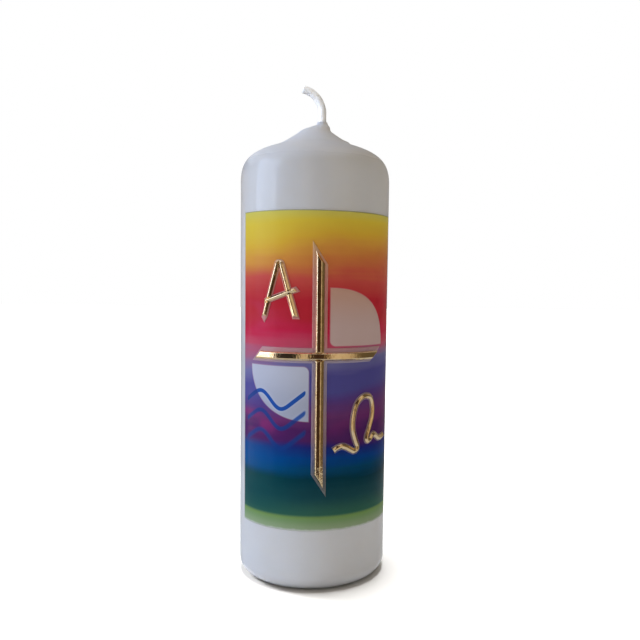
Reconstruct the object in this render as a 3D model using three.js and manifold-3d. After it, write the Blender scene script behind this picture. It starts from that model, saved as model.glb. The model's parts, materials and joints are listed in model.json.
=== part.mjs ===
// Pillar candle with a printed film round its front and a raised gold cross, alpha and omega.
// Millimetres, +Z up. The origin is the centre of the flat base, and the cross faces -Y.
//
// The ornaments are laid out flat first and then bent round the candle. In a flat layout
// x is the distance round the candle from the middle of the cross, y is the height above
// the base, and z is the height above the wax.

import * as THREE from 'three';
import { mergeVertices } from 'three/addons/utils/BufferGeometryUtils.js';
import Module from 'manifold-3d';

const wasm = await Module();
wasm.setup();

// Candle body
const candleRadius = 35;
const footFillet = 6.7;
const coatThickness = 2;
const facetsRound = 72;
const coatCurveSteps = 5;
const coreCurveSteps = 3;

// Shoulder, dome and the cone of wax round the wick. The fullness values are the lengths of
// the curve's handles, as shares of the stretch that they shape.
const shoulderRise = 17.1;
const shoulderFullness = 0.61;
const domeFullness = 0.7;
const domeSlope = 0.33;
const coneFootRadius = 19.4;
const coneRise = 10.2;
const coneFullness = 0.25;
const coneTopSlope = 0.73;
const neckFlare = 0.9;
const collarRise = 1.8;
const collarWall = 0.45;
const neckLean = 2.95;
const neckLeanDepth = 3.2;
const neckLeanOver = 0.5;

// Pressed core: its flat top and how steeply its cone rises beside the coat's
const coreTopRadius = 7;
const coreConeShare = 0.8;

// Wick
const wickDiameter = 3.7;
const wickSides = 10;
const wickStraight = 4;
const wickBendRadius = 11;
const wickBendAngle = THREE.MathUtils.degToRad(82);
const wickBendSteps = 12;
const wickLeanLength = 16;
const wickLeanSteps = 8;

// Printed film
const filmFoot = 28.4;
const filmHeight = 140.75;
const filmWidth = 84.5;
const filmShift = 0.9;
const plainTop = 15.4;
const filmCarrier = 0.15;
const filmInk = 0.1;

// Quarter windows in the print, one above the cross bar and one below it
const sunReach = 29.5;
const sunRise = 25.2;
const sunFullness = 2.25;
const bowlReach = 29.4;
const bowlRise = 24;
const bowlFullness = 2;
const windowCorner = 2.5;
const windowMargin = 1.3;
const windowSteps = 14;

// Cross. Its bar lies at a share of the film's height, and its upright a little to the left
// of the middle.
const crossStripWidth = 3.7;
const crossStripHeight = 1.1;
const crossBevel = 0.6;
const barShare = 0.5513;
const uprightShift = -0.2;
const uprightTopMargin = 20;
const uprightFootMargin = 22.4;
const uprightCutSlope = 1.56;
const barLeftReach = 29.5;
const barRightReach = 28;
const barLeftCutSlope = 0.97;
const barRightCutSlope = 1.2;
const crossRim = 1.45;
const uprightEndRim = 1.9;
const barEndRim = 0.9;
const barRimLift = 0.4;

// Letters
const letterStripWidth = 2.2;
const letterStripHeight = 0.95;
const letterBevel = 0.6;
const letterRim = 0.5;

// Alpha, placed from the middle of the cross
const alphaOffset = -18.3;
const alphaFootRise = 17.2;
const alphaHeight = 24.3;
const alphaLegSlope = 0.292;
const alphaTopSpread = 0.96;
const alphaShoulder = 1.7;
const alphaShoulderSteps = 3;
const alphaLeftEndRim = 0.5;
const alphaLeftTip = 2.4;
const alphaRightEndRim = 1.1;
const alphaBarWidth = 1.8;
const alphaBarRim = 0.45;
const alphaBarRise = 26.2;
const alphaBarSlope = 0.35;
const alphaBarLeft = -7.4;
const alphaBarRight = 7.6;
const alphaBarCutSlope = 0.65;
const alphaBarLeftEndRim = 0.3;

// Omega, placed from the middle of the cross by its middle and its lowest point
const omegaOffset = 21.7;
const omegaDrop = 42.5;
const omegaWidth = 31.3;
const omegaHeight = 24.2;
const omegaSteps = 52;
const omegaJoins = [0.165, 0.48, 0.805];
const omegaEndTaper = 0.7;
const turnSpan = 0.01;
const innerBend = 0.7;

// How the pieces sit on each other
const stripLip = 0.15;
const backingThickness = 0.3;
const seatGap = 0.05;
const pressedHeight = 0.4;
const wickClearance = 0.1;

// Sizes that follow from the ones above
const sideHeight = filmFoot + filmHeight + plainTop;
const shoulderTop = sideHeight + shoulderRise;
const neckTop = shoulderTop + coneRise;
const collarTop = neckTop + collarRise;
const wickRadius = wickDiameter / 2;
const boreRadius = wickRadius + wickClearance;
const collarRadius = boreRadius + collarWall;
const neckRadius = collarRadius + neckFlare;
const wickLeanStart = neckTop - wickLeanLength;
const wickBendStart = collarTop + wickStraight;
const barHeight = filmFoot + barShare * filmHeight;
const filmLevel = seatGap;
const backingLevel = filmLevel + filmCarrier + filmInk + seatGap;
const goldLevel = backingLevel + backingThickness + seatGap;
const facetAngle = (2 * Math.PI) / facetsRound;
const facetArc = candleRadius * facetAngle;

// Tolerances
const weldDistance = 1e-4;
const facetSnap = 1e-3;
const leastArea = 1e-7;
const almostNone = 1e-6;

// Finishes
const whiteWax = { color: 0xe9e8e4, roughness: 0.42, metalness: 0 };
const coreWax = { color: 0xf0eee6, roughness: 0.6, metalness: 0 };
const cotton = { color: 0xeef0ee, roughness: 0.7, metalness: 0 };
const printedInk = { color: 0xb8325a, roughness: 0.35, metalness: 0 };
const paleWax = { color: 0xd9c3bb, roughness: 0.35, metalness: 0 };
const goldFoil = { color: 0xd8a94e, roughness: 0.2, metalness: 1 };

// Solids

function toSolid(geometry) {
  const bare = geometry.clone();
  bare.deleteAttribute('normal');
  bare.deleteAttribute('uv');
  const merged = mergeVertices(bare, weldDistance);
  const vertProperties = new Float32Array(merged.getAttribute('position').array);
  const triVerts = new Uint32Array(merged.getIndex().array);
  return new wasm.Manifold(new wasm.Mesh({ numProp: 3, vertProperties, triVerts }));
}

function toGeometry(solid) {
  const mesh = solid.getMesh();
  const geometry = new THREE.BufferGeometry();
  geometry.setAttribute('position', new THREE.BufferAttribute(new Float32Array(mesh.vertProperties), 3));
  geometry.setIndex(new THREE.BufferAttribute(new Uint32Array(mesh.triVerts), 1));
  return geometry;
}

function fromTriangles(corners) {
  const geometry = new THREE.BufferGeometry();
  geometry.setAttribute('position', new THREE.Float32BufferAttribute(corners, 3));
  return geometry;
}

// Candle body

// A smooth 0 to 1 step between two heights.
function ease(height, from, to) {
  return THREE.MathUtils.smoothstep(height, from, to);
}

// The rounded shoulder, from the straight side up to the foot of the cone.
function addShoulder(outline, radius, top) {
  const pull = domeFullness * (radius - coneFootRadius);
  outline.bezierCurveTo(
    radius, sideHeight + shoulderFullness * (top - sideHeight),
    coneFootRadius + pull, top - pull * domeSlope,
    coneFootRadius, top,
  );
}

// Half outline of the whole candle. The collar closes on the wick at its top.
function candleOutline() {
  const outline = new THREE.Path();
  outline.moveTo(0, 0);
  outline.lineTo(candleRadius - footFillet, 0);
  outline.absarc(candleRadius - footFillet, footFillet, footFillet, -Math.PI / 2, 0, false);
  outline.lineTo(candleRadius, sideHeight);
  addShoulder(outline, candleRadius, shoulderTop);
  const handle = coneFullness * (coneFootRadius - neckRadius);
  outline.bezierCurveTo(
    coneFootRadius - handle, shoulderTop + handle * domeSlope,
    neckRadius + handle, neckTop - handle * coneTopSlope,
    neckRadius, neckTop,
  );
  outline.quadraticCurveTo(collarRadius, neckTop + collarRise / 3, collarRadius, collarTop);
  outline.lineTo(0, collarTop);
  return outline;
}

// Half outline of the pressed core, drawn in from the outer wax by inset. It starts at
// height drop, so that the space it leaves in the coat opens at the base.
function coreOutline(inset, drop) {
  const radius = candleRadius - inset;
  const fillet = footFillet - coatThickness;
  const top = shoulderTop - inset;
  const outline = new THREE.Path();
  outline.moveTo(0, drop);
  outline.lineTo(radius - fillet, drop);
  outline.lineTo(radius - fillet, 0);
  outline.absarc(radius - fillet, fillet, fillet, -Math.PI / 2, 0, false);
  outline.lineTo(radius, sideHeight);
  addShoulder(outline, radius, top);
  const slope = (coreConeShare * coneRise) / (coneFootRadius - neckRadius);
  const rise = slope * (coneFootRadius - coreTopRadius);
  outline.lineTo(coreTopRadius, top + rise);
  outline.lineTo(0, top + rise);
  return outline;
}

// A solid of revolution about Z, with its first facet edge on the cross's centre line.
function revolve(outline, divisions) {
  const profile = outline.getPoints(divisions).filter((point, index, all) => (
    index === 0 || point.distanceTo(all[index - 1]) > almostNone
  ));
  const geometry = new THREE.LatheGeometry(profile, facetsRound);
  geometry.rotateX(Math.PI / 2);
  return geometry;
}

// The cone's tip leans with the wick: every point above its middle moves along +X.
function leanNeck(geometry) {
  const position = geometry.getAttribute('position');
  for (let index = 0; index < position.count; index += 1) {
    const height = position.getZ(index);
    const share = ease(height, neckTop - neckLeanDepth, neckTop + neckLeanOver);
    position.setX(index, position.getX(index) + neckLean * share);
  }
  return geometry;
}

// The wick's centre line and direction at a length along it: straight up the middle, over
// to the leaning collar, straight out of it and then round a bend to -X.
function wickStation(along) {
  const height = Math.min(along, wickBendStart);
  const angle = Math.max(0, along - wickBendStart) / wickBendRadius;
  const lean = neckLean * ease(height, wickLeanStart, neckTop);
  const point = new THREE.Vector3(
    lean - wickBendRadius * (1 - Math.cos(angle)),
    0,
    height + wickBendRadius * Math.sin(angle),
  );
  return { point, direction: new THREE.Vector3(-Math.sin(angle), 0, Math.cos(angle)) };
}

// A round bar along the wick's centre line, with a ring at each of the given lengths.
function wickBar(radius, lengths) {
  const across = new THREE.Vector3(0, 1, 0);
  const rings = lengths.map((along) => {
    const { point, direction } = wickStation(along);
    const outwards = across.clone().cross(direction);
    return Array.from({ length: wickSides }, (_, side) => {
      const angle = (side / wickSides) * 2 * Math.PI;
      return point.clone()
        .addScaledVector(outwards, radius * Math.cos(angle))
        .addScaledVector(across, radius * Math.sin(angle));
    });
  });
  return fromTriangles(joinRings(rings));
}

// Evenly spaced lengths from one to another, both included.
function spread(from, to, steps) {
  return Array.from({ length: steps + 1 }, (_, step) => THREE.MathUtils.lerp(from, to, step / steps));
}

function buildWick() {
  const end = wickBendStart + wickBendRadius * wickBendAngle;
  const lean = spread(wickLeanStart, neckTop, wickLeanSteps);
  return wickBar(wickRadius, [0, ...lean, ...spread(wickBendStart, end, wickBendSteps)]);
}

function wickBore() {
  const lean = spread(wickLeanStart, neckTop, wickLeanSteps);
  return toSolid(wickBar(boreRadius, [-1, ...lean, wickBendStart]));
}

function buildCore() {
  const blank = toSolid(revolve(coreOutline(coatThickness + seatGap, 0), coreCurveSteps));
  return toGeometry(blank.subtract(wickBore()));
}

function buildCoat() {
  const blank = toSolid(leanNeck(revolve(candleOutline(), coatCurveSteps)));
  const space = toSolid(revolve(coreOutline(coatThickness, -1), coreCurveSteps));
  return toGeometry(blank.subtract(space).subtract(wickBore()));
}

// Bending a flat layout round the candle

// A point at the given distance round the candle, on the flat facets of a prism of the
// given radius, so that every layer lies parallel to the facets of the wax under it.
function facetPoint(distance, radius) {
  const place = distance / facetArc;
  const facet = Math.floor(place);
  const share = place - facet;
  const from = facet * facetAngle;
  const to = (facet + 1) * facetAngle;
  return new THREE.Vector2(
    radius * THREE.MathUtils.lerp(Math.sin(from), Math.sin(to), share),
    -radius * THREE.MathUtils.lerp(Math.cos(from), Math.cos(to), share),
  );
}

// The part of a polygon on one side of the line x = limit. keep is -1 for its left side
// and 1 for its right side.
function clipAtLine(polygon, limit, keep) {
  const kept = [];
  polygon.forEach((corner, index) => {
    const next = polygon[(index + 1) % polygon.length];
    const here = (corner.x - limit) * keep;
    const there = (next.x - limit) * keep;
    if (here >= 0) kept.push(corner);
    if (here * there < 0) kept.push(corner.clone().lerp(next, here / (here - there)).setX(limit));
  });
  return kept;
}

function addFan(corners, polygon) {
  for (let index = 1; index + 1 < polygon.length; index += 1) {
    const fan = [polygon[0], polygon[index], polygon[index + 1]];
    const area = new THREE.Triangle(...fan).getArea();
    if (area > leastArea) fan.forEach((corner) => corners.push(corner.x, corner.y, corner.z));
  }
}

// Cuts every triangle of a flat layout along the lines where the candle's facets meet.
function splitAtFacets(geometry) {
  const flat = geometry.index ? geometry.toNonIndexed() : geometry;
  const position = flat.getAttribute('position');
  const corners = [];
  for (let start = 0; start < position.count; start += 3) {
    let rest = [0, 1, 2].map((offset) => {
      const corner = new THREE.Vector3().fromBufferAttribute(position, start + offset);
      const line = Math.round(corner.x / facetArc) * facetArc;
      return Math.abs(corner.x - line) < facetSnap ? corner.setX(line) : corner;
    });
    const left = Math.min(...rest.map((corner) => corner.x));
    const right = Math.max(...rest.map((corner) => corner.x));
    for (let line = Math.floor(left / facetArc) + 1; line * facetArc < right; line += 1) {
      addFan(corners, clipAtLine(rest, line * facetArc, -1));
      rest = clipAtLine(rest, line * facetArc, 1);
    }
    addFan(corners, rest);
  }
  return fromTriangles(corners);
}

// Bends a flat layout round the candle, with its underside at the given level above the wax.
function bendRound(geometry, level) {
  const bent = splitAtFacets(geometry);
  const position = bent.getAttribute('position');
  for (let index = 0; index < position.count; index += 1) {
    const radius = candleRadius + level + position.getZ(index);
    const place = facetPoint(position.getX(index), radius);
    position.setXYZ(index, place.x, place.y, position.getY(index));
  }
  return bent;
}

// Flat layouts

// A flat plate with the given outline, from one height above the wax to another.
function plate(corners, bottom, top) {
  const geometry = new THREE.ExtrudeGeometry(new THREE.Shape(corners), {
    depth: top - bottom,
    bevelEnabled: false,
  });
  return geometry.translate(0, 0, bottom);
}

// A convex outline with every side moved outwards by margin, or inwards where it is negative.
// The corners run anticlockwise.
function offsetOutline(corners, margin) {
  const count = corners.length;
  const sides = corners.map((corner, index) => {
    const along = corners[(index + 1) % count].clone().sub(corner).normalize();
    const start = corner.clone().add(new THREE.Vector2(along.y, -along.x).multiplyScalar(margin));
    return { start, along };
  });
  return sides.map((side, index) => {
    const before = sides[(index + count - 1) % count];
    const gap = side.start.clone().sub(before.start);
    const share = gap.cross(side.along) / before.along.cross(side.along);
    return before.start.clone().addScaledVector(before.along, share);
  });
}

// A gold strip: a convex plate with a low upright lip and bevels up to a flat top.
function bevelledPlate(corners, height, bevel) {
  const crown = offsetOutline(corners, -bevel);
  const rings = [
    corners.map((corner) => new THREE.Vector3(corner.x, corner.y, 0)),
    corners.map((corner) => new THREE.Vector3(corner.x, corner.y, stripLip)),
    crown.map((corner) => new THREE.Vector3(corner.x, corner.y, height)),
  ];
  return fromTriangles(joinRings(rings));
}

// Joins rings of points into one closed skin. Seen from outside, a ring runs anticlockwise
// round the direction in which the rings follow each other.
function joinRings(rings) {
  const corners = [];
  const push = (...points) => points.forEach((point) => corners.push(point.x, point.y, point.z));
  const count = rings[0].length;
  for (let ring = 0; ring + 1 < rings.length; ring += 1) {
    for (let side = 0; side < count; side += 1) {
      const next = (side + 1) % count;
      const [a, b] = [rings[ring][side], rings[ring][next]];
      const [c, d] = [rings[ring + 1][side], rings[ring + 1][next]];
      push(a, b, d);
      push(a, d, c);
    }
  }
  const first = rings[0];
  const last = rings[rings.length - 1];
  for (let side = 1; side + 1 < count; side += 1) {
    push(first[0], first[side + 1], first[side]);
    push(last[0], last[side], last[side + 1]);
  }
  return corners;
}

// Printed film: a clear carrier with a layer of ink that leaves two quarter windows free.

// A quarter window in the corner of the cross. side is 1 up and to the right, -1 down and to
// the left. A fullness of 2 gives a quarter ellipse, and more swells it towards its corner.
// The corner next to the cross is rounded.
function windowOutline(side, reach, rise, fullness) {
  const clear = crossStripWidth / 2 + crossRim + windowMargin;
  const swell = spread(0, Math.PI / 2, windowSteps).map((angle) => new THREE.Vector2(
    clear + reach * Math.cos(angle) ** (2 / fullness),
    clear + rise * Math.sin(angle) ** (2 / fullness),
  ));
  const corner = new THREE.Path();
  corner.absarc(clear + windowCorner, clear + windowCorner, windowCorner, Math.PI, 1.5 * Math.PI, false);
  return [...swell, ...corner.getPoints(windowSteps / 2)].map((point) => (
    new THREE.Vector2(uprightShift + side * point.x, barHeight + side * point.y)
  ));
}

function buildFilm() {
  const left = filmShift - filmWidth / 2;
  const right = filmShift + filmWidth / 2;
  const top = filmFoot + filmHeight;
  const outline = [
    new THREE.Vector2(left, filmFoot),
    new THREE.Vector2(right, filmFoot),
    new THREE.Vector2(right, top),
    new THREE.Vector2(left, top),
  ];
  const thickness = filmCarrier + filmInk;
  const sun = windowOutline(1, sunReach, sunRise, sunFullness);
  const bowl = windowOutline(-1, bowlReach, bowlRise, bowlFullness);
  let film = toSolid(plate(outline, 0, thickness));
  [sun, bowl].forEach((opening) => {
    film = film.subtract(toSolid(plate(opening, filmCarrier, thickness + 1)));
  });
  return bendRound(toGeometry(film), filmLevel);
}

// Cross: an upright and a bar with slanting ends. The upright is pressed down where the
// bar lies over it, and the bar bridges it.

function uprightOutline(rim, endRim) {
  const half = crossStripWidth / 2 + rim;
  const slant = half * uprightCutSlope;
  const top = filmFoot + filmHeight - uprightTopMargin + endRim;
  const foot = filmFoot + uprightFootMargin - endRim;
  return [
    new THREE.Vector2(uprightShift + half, foot - slant),
    new THREE.Vector2(uprightShift + half, top - slant),
    new THREE.Vector2(uprightShift - half, top + slant),
    new THREE.Vector2(uprightShift - half, foot + slant),
  ];
}

function barOutline(rim, endRim, lift) {
  const half = crossStripWidth / 2 + rim;
  const middle = barHeight + lift;
  const left = -barLeftReach - endRim;
  const right = barRightReach + endRim;
  const leftSlant = half * barLeftCutSlope;
  const rightSlant = half * barRightCutSlope;
  return [
    new THREE.Vector2(left - leftSlant, middle - half),
    new THREE.Vector2(right - rightSlant, middle - half),
    new THREE.Vector2(right + rightSlant, middle + half),
    new THREE.Vector2(left + leftSlant, middle + half),
  ];
}

// The lower strip of a crossing, pressed down under the upper one.
function pressUnder(strip, upperOutline, height) {
  const clear = offsetOutline(upperOutline, seatGap);
  return strip.subtract(toSolid(plate(clear, pressedHeight, height + 1)));
}

// The upper strip of a crossing, with a seat for the pressed part of the lower one.
function seatOver(strip, lowerOutline) {
  const clear = offsetOutline(lowerOutline, seatGap);
  return strip.subtract(toSolid(plate(clear, -1, pressedHeight + seatGap)));
}

function joinPlates(outlines, thickness) {
  return outlines
    .map((outline) => toSolid(plate(outline, 0, thickness)))
    .reduce((joined, solid) => joined.add(solid))
    .asOriginal();
}

function buildCrossBacking() {
  const outlines = [
    uprightOutline(crossRim, uprightEndRim),
    barOutline(crossRim, barEndRim, barRimLift),
  ];
  return bendRound(toGeometry(joinPlates(outlines, backingThickness)), backingLevel);
}

function buildCrossUpright() {
  const strip = toSolid(bevelledPlate(uprightOutline(0, 0), crossStripHeight, crossBevel));
  const pressed = pressUnder(strip, barOutline(0, 0, 0), crossStripHeight);
  return bendRound(toGeometry(pressed), goldLevel);
}

function buildCrossBar() {
  const strip = toSolid(bevelledPlate(barOutline(0, 0, 0), crossStripHeight, crossBevel));
  return bendRound(toGeometry(seatOver(strip, uprightOutline(0, 0))), goldLevel);
}

// Alpha: two legs that meet on a mitre at the top, and a rising bar laid over both.

// One leg, with its outer shoulder rounded. side is -1 for the left leg and 1 for the right.
// gap keeps the mitre open, and tip draws the foot out to a point.
function legOutline(side, rim, endRim, gap, tip) {
  const foot = barHeight + alphaFootRise - endRim;
  const top = barHeight + alphaFootRise + alphaHeight + rim;
  const half = (letterStripWidth / 2 + rim) * Math.hypot(1, alphaLegSlope);
  const apex = barHeight + alphaFootRise + alphaHeight + alphaTopSpread / 2 / alphaLegSlope;
  const centre = (height) => (apex - height) * alphaLegSlope;
  const mitre = apex - half / alphaLegSlope;
  const outline = new THREE.Path();
  outline.moveTo(centre(foot) - half, foot);
  if (tip > 0) outline.lineTo(centre(foot), foot - tip);
  outline.lineTo(centre(foot) + half, foot);
  outline.lineTo(centre(top - alphaShoulder) + half, top - alphaShoulder);
  outline.quadraticCurveTo(centre(top) + half, top, gap, top);
  outline.lineTo(gap, mitre - gap / alphaLegSlope);
  const placed = outline.getPoints(alphaShoulderSteps).map((point) => (
    new THREE.Vector2(alphaOffset + side * point.x, point.y)
  ));
  return side > 0 ? placed : placed.reverse();
}

function alphaBarOutline(rim, leftEndRim, rightEndRim) {
  const half = (alphaBarWidth / 2 + rim) * Math.hypot(1, alphaBarSlope);
  const cut = half * alphaBarCutSlope;
  const left = alphaBarLeft - leftEndRim;
  const right = alphaBarRight + rightEndRim;
  const place = (across, up) => new THREE.Vector2(
    alphaOffset + across,
    barHeight + alphaBarRise + across * alphaBarSlope + up,
  );
  return [place(left, -half), place(right + cut, -half), place(right - cut, half), place(left, half)];
}

function buildAlphaBacking() {
  const outlines = [
    legOutline(-1, letterRim, alphaLeftEndRim, 0, alphaLeftTip),
    legOutline(1, letterRim, alphaRightEndRim, 0, 0),
    alphaBarOutline(alphaBarRim, alphaBarLeftEndRim, alphaRightEndRim),
  ];
  return bendRound(toGeometry(joinPlates(outlines, backingThickness)), backingLevel);
}

function buildAlphaLeg(side) {
  const outline = legOutline(side, 0, 0, seatGap, 0);
  const strip = toSolid(bevelledPlate(outline, letterStripHeight, letterBevel));
  const pressed = pressUnder(strip, alphaBarOutline(0, 0, 0), letterStripHeight);
  return bendRound(toGeometry(pressed), goldLevel);
}

function buildAlphaBar() {
  const outline = alphaBarOutline(0, 0, 0);
  let strip = toSolid(bevelledPlate(outline, letterStripHeight, letterBevel));
  [-1, 1].forEach((side) => {
    strip = seatOver(strip, legOutline(side, 0, 0, seatGap, 0));
  });
  return bendRound(toGeometry(strip), goldLevel);
}

// Omega: one strip, from its left foot up round the loop and down to its right foot.

// The knots are shares of the omega's width, from its middle, and of its height.
function omegaCurve() {
  const foot = barHeight - omegaDrop;
  const knots = [
    [-0.495, 0.039], [-0.431, 0.087], [-0.367, 0.107], [-0.304, 0.085], [-0.233, 0.033],
    [-0.176, 0], [-0.131, 0.021], [-0.118, 0.083], [-0.141, 0.155], [-0.192, 0.376],
    [-0.188, 0.64], [-0.131, 0.872], [-0.04, 0.978], [0.045, 0.998], [0.128, 0.955],
    [0.173, 0.789], [0.163, 0.587], [0.102, 0.382], [0.053, 0.202], [0.07, 0.153],
    [0.125, 0.167], [0.169, 0.227], [0.211, 0.246], [0.265, 0.213], [0.327, 0.163],
    [0.411, 0.151], [0.505, 0.178],
  ];
  const points = knots.map(([across, up]) => (
    new THREE.Vector3(omegaOffset + across * omegaWidth, foot + up * omegaHeight, 0)
  ));
  return new THREE.CatmullRomCurve3(points, false, 'centripetal');
}

// Stations along the omega, each with its point, its direction, which way it turns there
// and the radius of its bend.
function omegaStations(from, to) {
  const curve = omegaCurve();
  const steps = Math.round((to - from) * omegaSteps);
  const stations = [];
  for (let step = 0; step <= steps; step += 1) {
    const share = THREE.MathUtils.lerp(from, to, step / steps);
    const before = curve.getTangentAt(Math.max(0, share - turnSpan));
    const after = curve.getTangentAt(Math.min(1, share + turnSpan));
    const turn = before.cross(after).z;
    const bend = (2 * turnSpan * curve.getLength()) / Math.max(Math.abs(turn), almostNone);
    stations.push({ point: curve.getPointAt(share), along: curve.getTangentAt(share), turn, bend });
  }
  return stations;
}

// A strip with the given cross-section carried along the stations. The section's points
// are [side, height]. Inside a bend the strip is drawn in, as a pressed strip is, and taper
// draws it in at its two ends.
function bentStrip(stations, section, taper) {
  const rings = stations.map(({ point, along, turn, bend }, index) => {
    const atEnd = index === 0 || index === stations.length - 1;
    return section.map(([side, height]) => {
      const inner = Math.sign(side) === Math.sign(turn);
      const reach = inner ? Math.min(Math.abs(side), bend * innerBend) : Math.abs(side);
      const offset = Math.sign(side) * reach * (atEnd ? taper : 1);
      const rise = atEnd ? Math.min(height, height * taper + stripLip) : height;
      return new THREE.Vector3(point.x - along.y * offset, point.y + along.x * offset, rise);
    });
  });
  return fromTriangles(joinRings(rings));
}

function buildOmegaStrip() {
  const half = letterStripWidth / 2;
  const crown = half - letterBevel;
  const section = [
    [half, 0], [half, stripLip], [crown, letterStripHeight],
    [-crown, letterStripHeight], [-half, stripLip], [-half, 0],
  ];
  return bendRound(bentStrip(omegaStations(0, 1), section, omegaEndTaper), goldLevel);
}

// The backing is wider than the strip and meets itself in the hairpin, so it is joined
// from stretches that don't.
function buildOmegaBacking() {
  const half = letterStripWidth / 2 + letterRim;
  const section = [[half, 0], [half, backingThickness], [-half, backingThickness], [-half, 0]];
  const cuts = [0, ...omegaJoins, 1];
  const joined = cuts.slice(1)
    .map((to, index) => toSolid(bentStrip(omegaStations(cuts[index], to), section, 1)))
    .reduce((whole, stretch) => whole.add(stretch))
    .asOriginal();
  return bendRound(toGeometry(joined), backingLevel);
}

// Assembly

const candle = new THREE.Group();

function addPiece(name, geometry, finish) {
  const material = new THREE.MeshStandardMaterial(finish);
  const mesh = new THREE.Mesh(geometry, material);
  mesh.name = name;
  candle.add(mesh);
}

addPiece('candle_core', buildCore(), coreWax);
addPiece('wax_coat', buildCoat(), whiteWax);
addPiece('wick', buildWick(), cotton);
addPiece('printed_film', buildFilm(), printedInk);
addPiece('cross_backing', buildCrossBacking(), paleWax);
addPiece('cross_upright', buildCrossUpright(), goldFoil);
addPiece('cross_bar', buildCrossBar(), goldFoil);
addPiece('alpha_backing', buildAlphaBacking(), paleWax);
addPiece('alpha_left_leg', buildAlphaLeg(-1), goldFoil);
addPiece('alpha_right_leg', buildAlphaLeg(1), goldFoil);
addPiece('alpha_bar', buildAlphaBar(), goldFoil);
addPiece('omega_backing', buildOmegaBacking(), paleWax);
addPiece('omega_strip', buildOmegaStrip(), goldFoil);

export default candle;
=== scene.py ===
"""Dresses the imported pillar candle: wax, wick, printed film, pale rims and gold ornaments.

Lengths are in millimetres until a mesh is made. The candle stands on its base at the
origin, +Z is up and the cross faces -Y. A place on the candle's side is given by its
layout: the distance round the candle from the middle of the cross, and the height.
"""

import sys

import json
import logging
import math
from collections.abc import Sequence
from dataclasses import dataclass
from enum import Enum
from typing import Any

import bpy
import numpy as np
from mathutils import Matrix, Vector

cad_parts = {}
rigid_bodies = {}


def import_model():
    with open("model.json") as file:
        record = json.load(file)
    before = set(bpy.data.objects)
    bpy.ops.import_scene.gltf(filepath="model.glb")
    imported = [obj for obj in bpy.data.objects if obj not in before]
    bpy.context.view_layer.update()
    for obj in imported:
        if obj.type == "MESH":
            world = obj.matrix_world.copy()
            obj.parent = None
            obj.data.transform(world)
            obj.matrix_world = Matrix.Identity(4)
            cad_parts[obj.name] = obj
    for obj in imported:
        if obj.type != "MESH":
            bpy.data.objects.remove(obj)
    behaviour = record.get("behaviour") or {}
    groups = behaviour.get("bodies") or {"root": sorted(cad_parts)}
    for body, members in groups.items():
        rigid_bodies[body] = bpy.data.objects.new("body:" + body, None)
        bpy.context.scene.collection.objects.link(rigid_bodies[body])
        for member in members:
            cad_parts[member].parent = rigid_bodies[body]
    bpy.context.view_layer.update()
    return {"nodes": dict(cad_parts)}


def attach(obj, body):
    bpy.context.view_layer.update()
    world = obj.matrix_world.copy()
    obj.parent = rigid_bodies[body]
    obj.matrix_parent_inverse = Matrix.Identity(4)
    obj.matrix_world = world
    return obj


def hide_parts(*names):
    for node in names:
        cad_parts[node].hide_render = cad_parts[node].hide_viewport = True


MM = 0.001
CANDLE_RADIUS = 35.0
NECK_TOP = 211.85
WICK_LEAN = 2.95
LEAN_FROM = 195.85
CROSS_MIDDLE = -0.2
BAR_HEIGHT = 106.0
FILM_LEFT = -41.35
FILM_RIGHT = 43.15
FILM_FOOT = 28.4
FILM_TOP = 169.15
FILM_LEVEL = 0.05
BACKING_LEVEL = 0.35
GOLD_LEVEL = 0.70
BODY = "root"

log = logging.getLogger("candle")


# Shader nodes


class Value:
    """A socket that carries a number, with Python's operators as Math nodes."""

    def __init__(self, desk: "Desk", socket: bpy.types.NodeSocket) -> None:
        """Wraps a socket of the desk's node tree."""
        self.desk = desk
        self.socket = socket

    def math(self, operation: str, *others: "Value | float") -> "Value":
        """Adds a Math node on this value.

        Args:
            operation: the node's operation.
            others: its further inputs.

        Returns:
            The node's result.
        """
        inputs = dict(enumerate((self, *others)))
        node = self.desk.add("ShaderNodeMath", {"operation": operation}, inputs)
        return Value(self.desk, node.outputs[0])

    def __add__(self, other: "Value | float") -> "Value":
        """This value plus another."""
        return self.math("ADD", other)

    __radd__ = __add__

    def __sub__(self, other: "Value | float") -> "Value":
        """This value less another."""
        return self.math("SUBTRACT", other)

    def __rsub__(self, other: float) -> "Value":
        """A number less this value."""
        return (-self) + other

    def __mul__(self, other: "Value | float") -> "Value":
        """This value times another."""
        return self.math("MULTIPLY", other)

    __rmul__ = __mul__

    def __truediv__(self, other: "Value | float") -> "Value":
        """This value divided by another."""
        return self.math("DIVIDE", other)

    def __neg__(self) -> "Value":
        """This value with its sign changed."""
        return self.math("MULTIPLY", -1.0)

    def __pow__(self, power: float) -> "Value":
        """This value raised to a power."""
        return self.math("POWER", power)

    def at_least(self, other: "Value | float") -> "Value":
        """The larger of this value and another."""
        return self.math("MAXIMUM", other)

    def at_most(self, other: "Value | float") -> "Value":
        """The smaller of this value and another."""
        return self.math("MINIMUM", other)

    def step(self, low: float, high: float) -> "Value":
        """A smooth step from 0 at low to 1 at high. high may be the smaller of the two."""
        turned = high < low
        node = self.desk.add(
            "ShaderNodeMapRange",
            {"interpolation_type": "SMOOTHSTEP"},
            {
                "Value": self,
                "From Min": min(low, high),
                "From Max": max(low, high),
                "To Min": 1.0 if turned else 0.0,
                "To Max": 0.0 if turned else 1.0,
            },
        )
        return Value(self.desk, node.outputs[0])

    def within(self, edges: "Edges") -> "Value":
        """1 between two soft edges. Each edge is given by where it is 0 and where it is 1."""
        return self.step(*edges[0]) * self.step(*edges[1])


Colour = tuple[float, float, float]
Pair = tuple[float, float]
Edges = tuple[Pair, Pair]
Stops = Sequence[tuple[float, Colour]]


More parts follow.
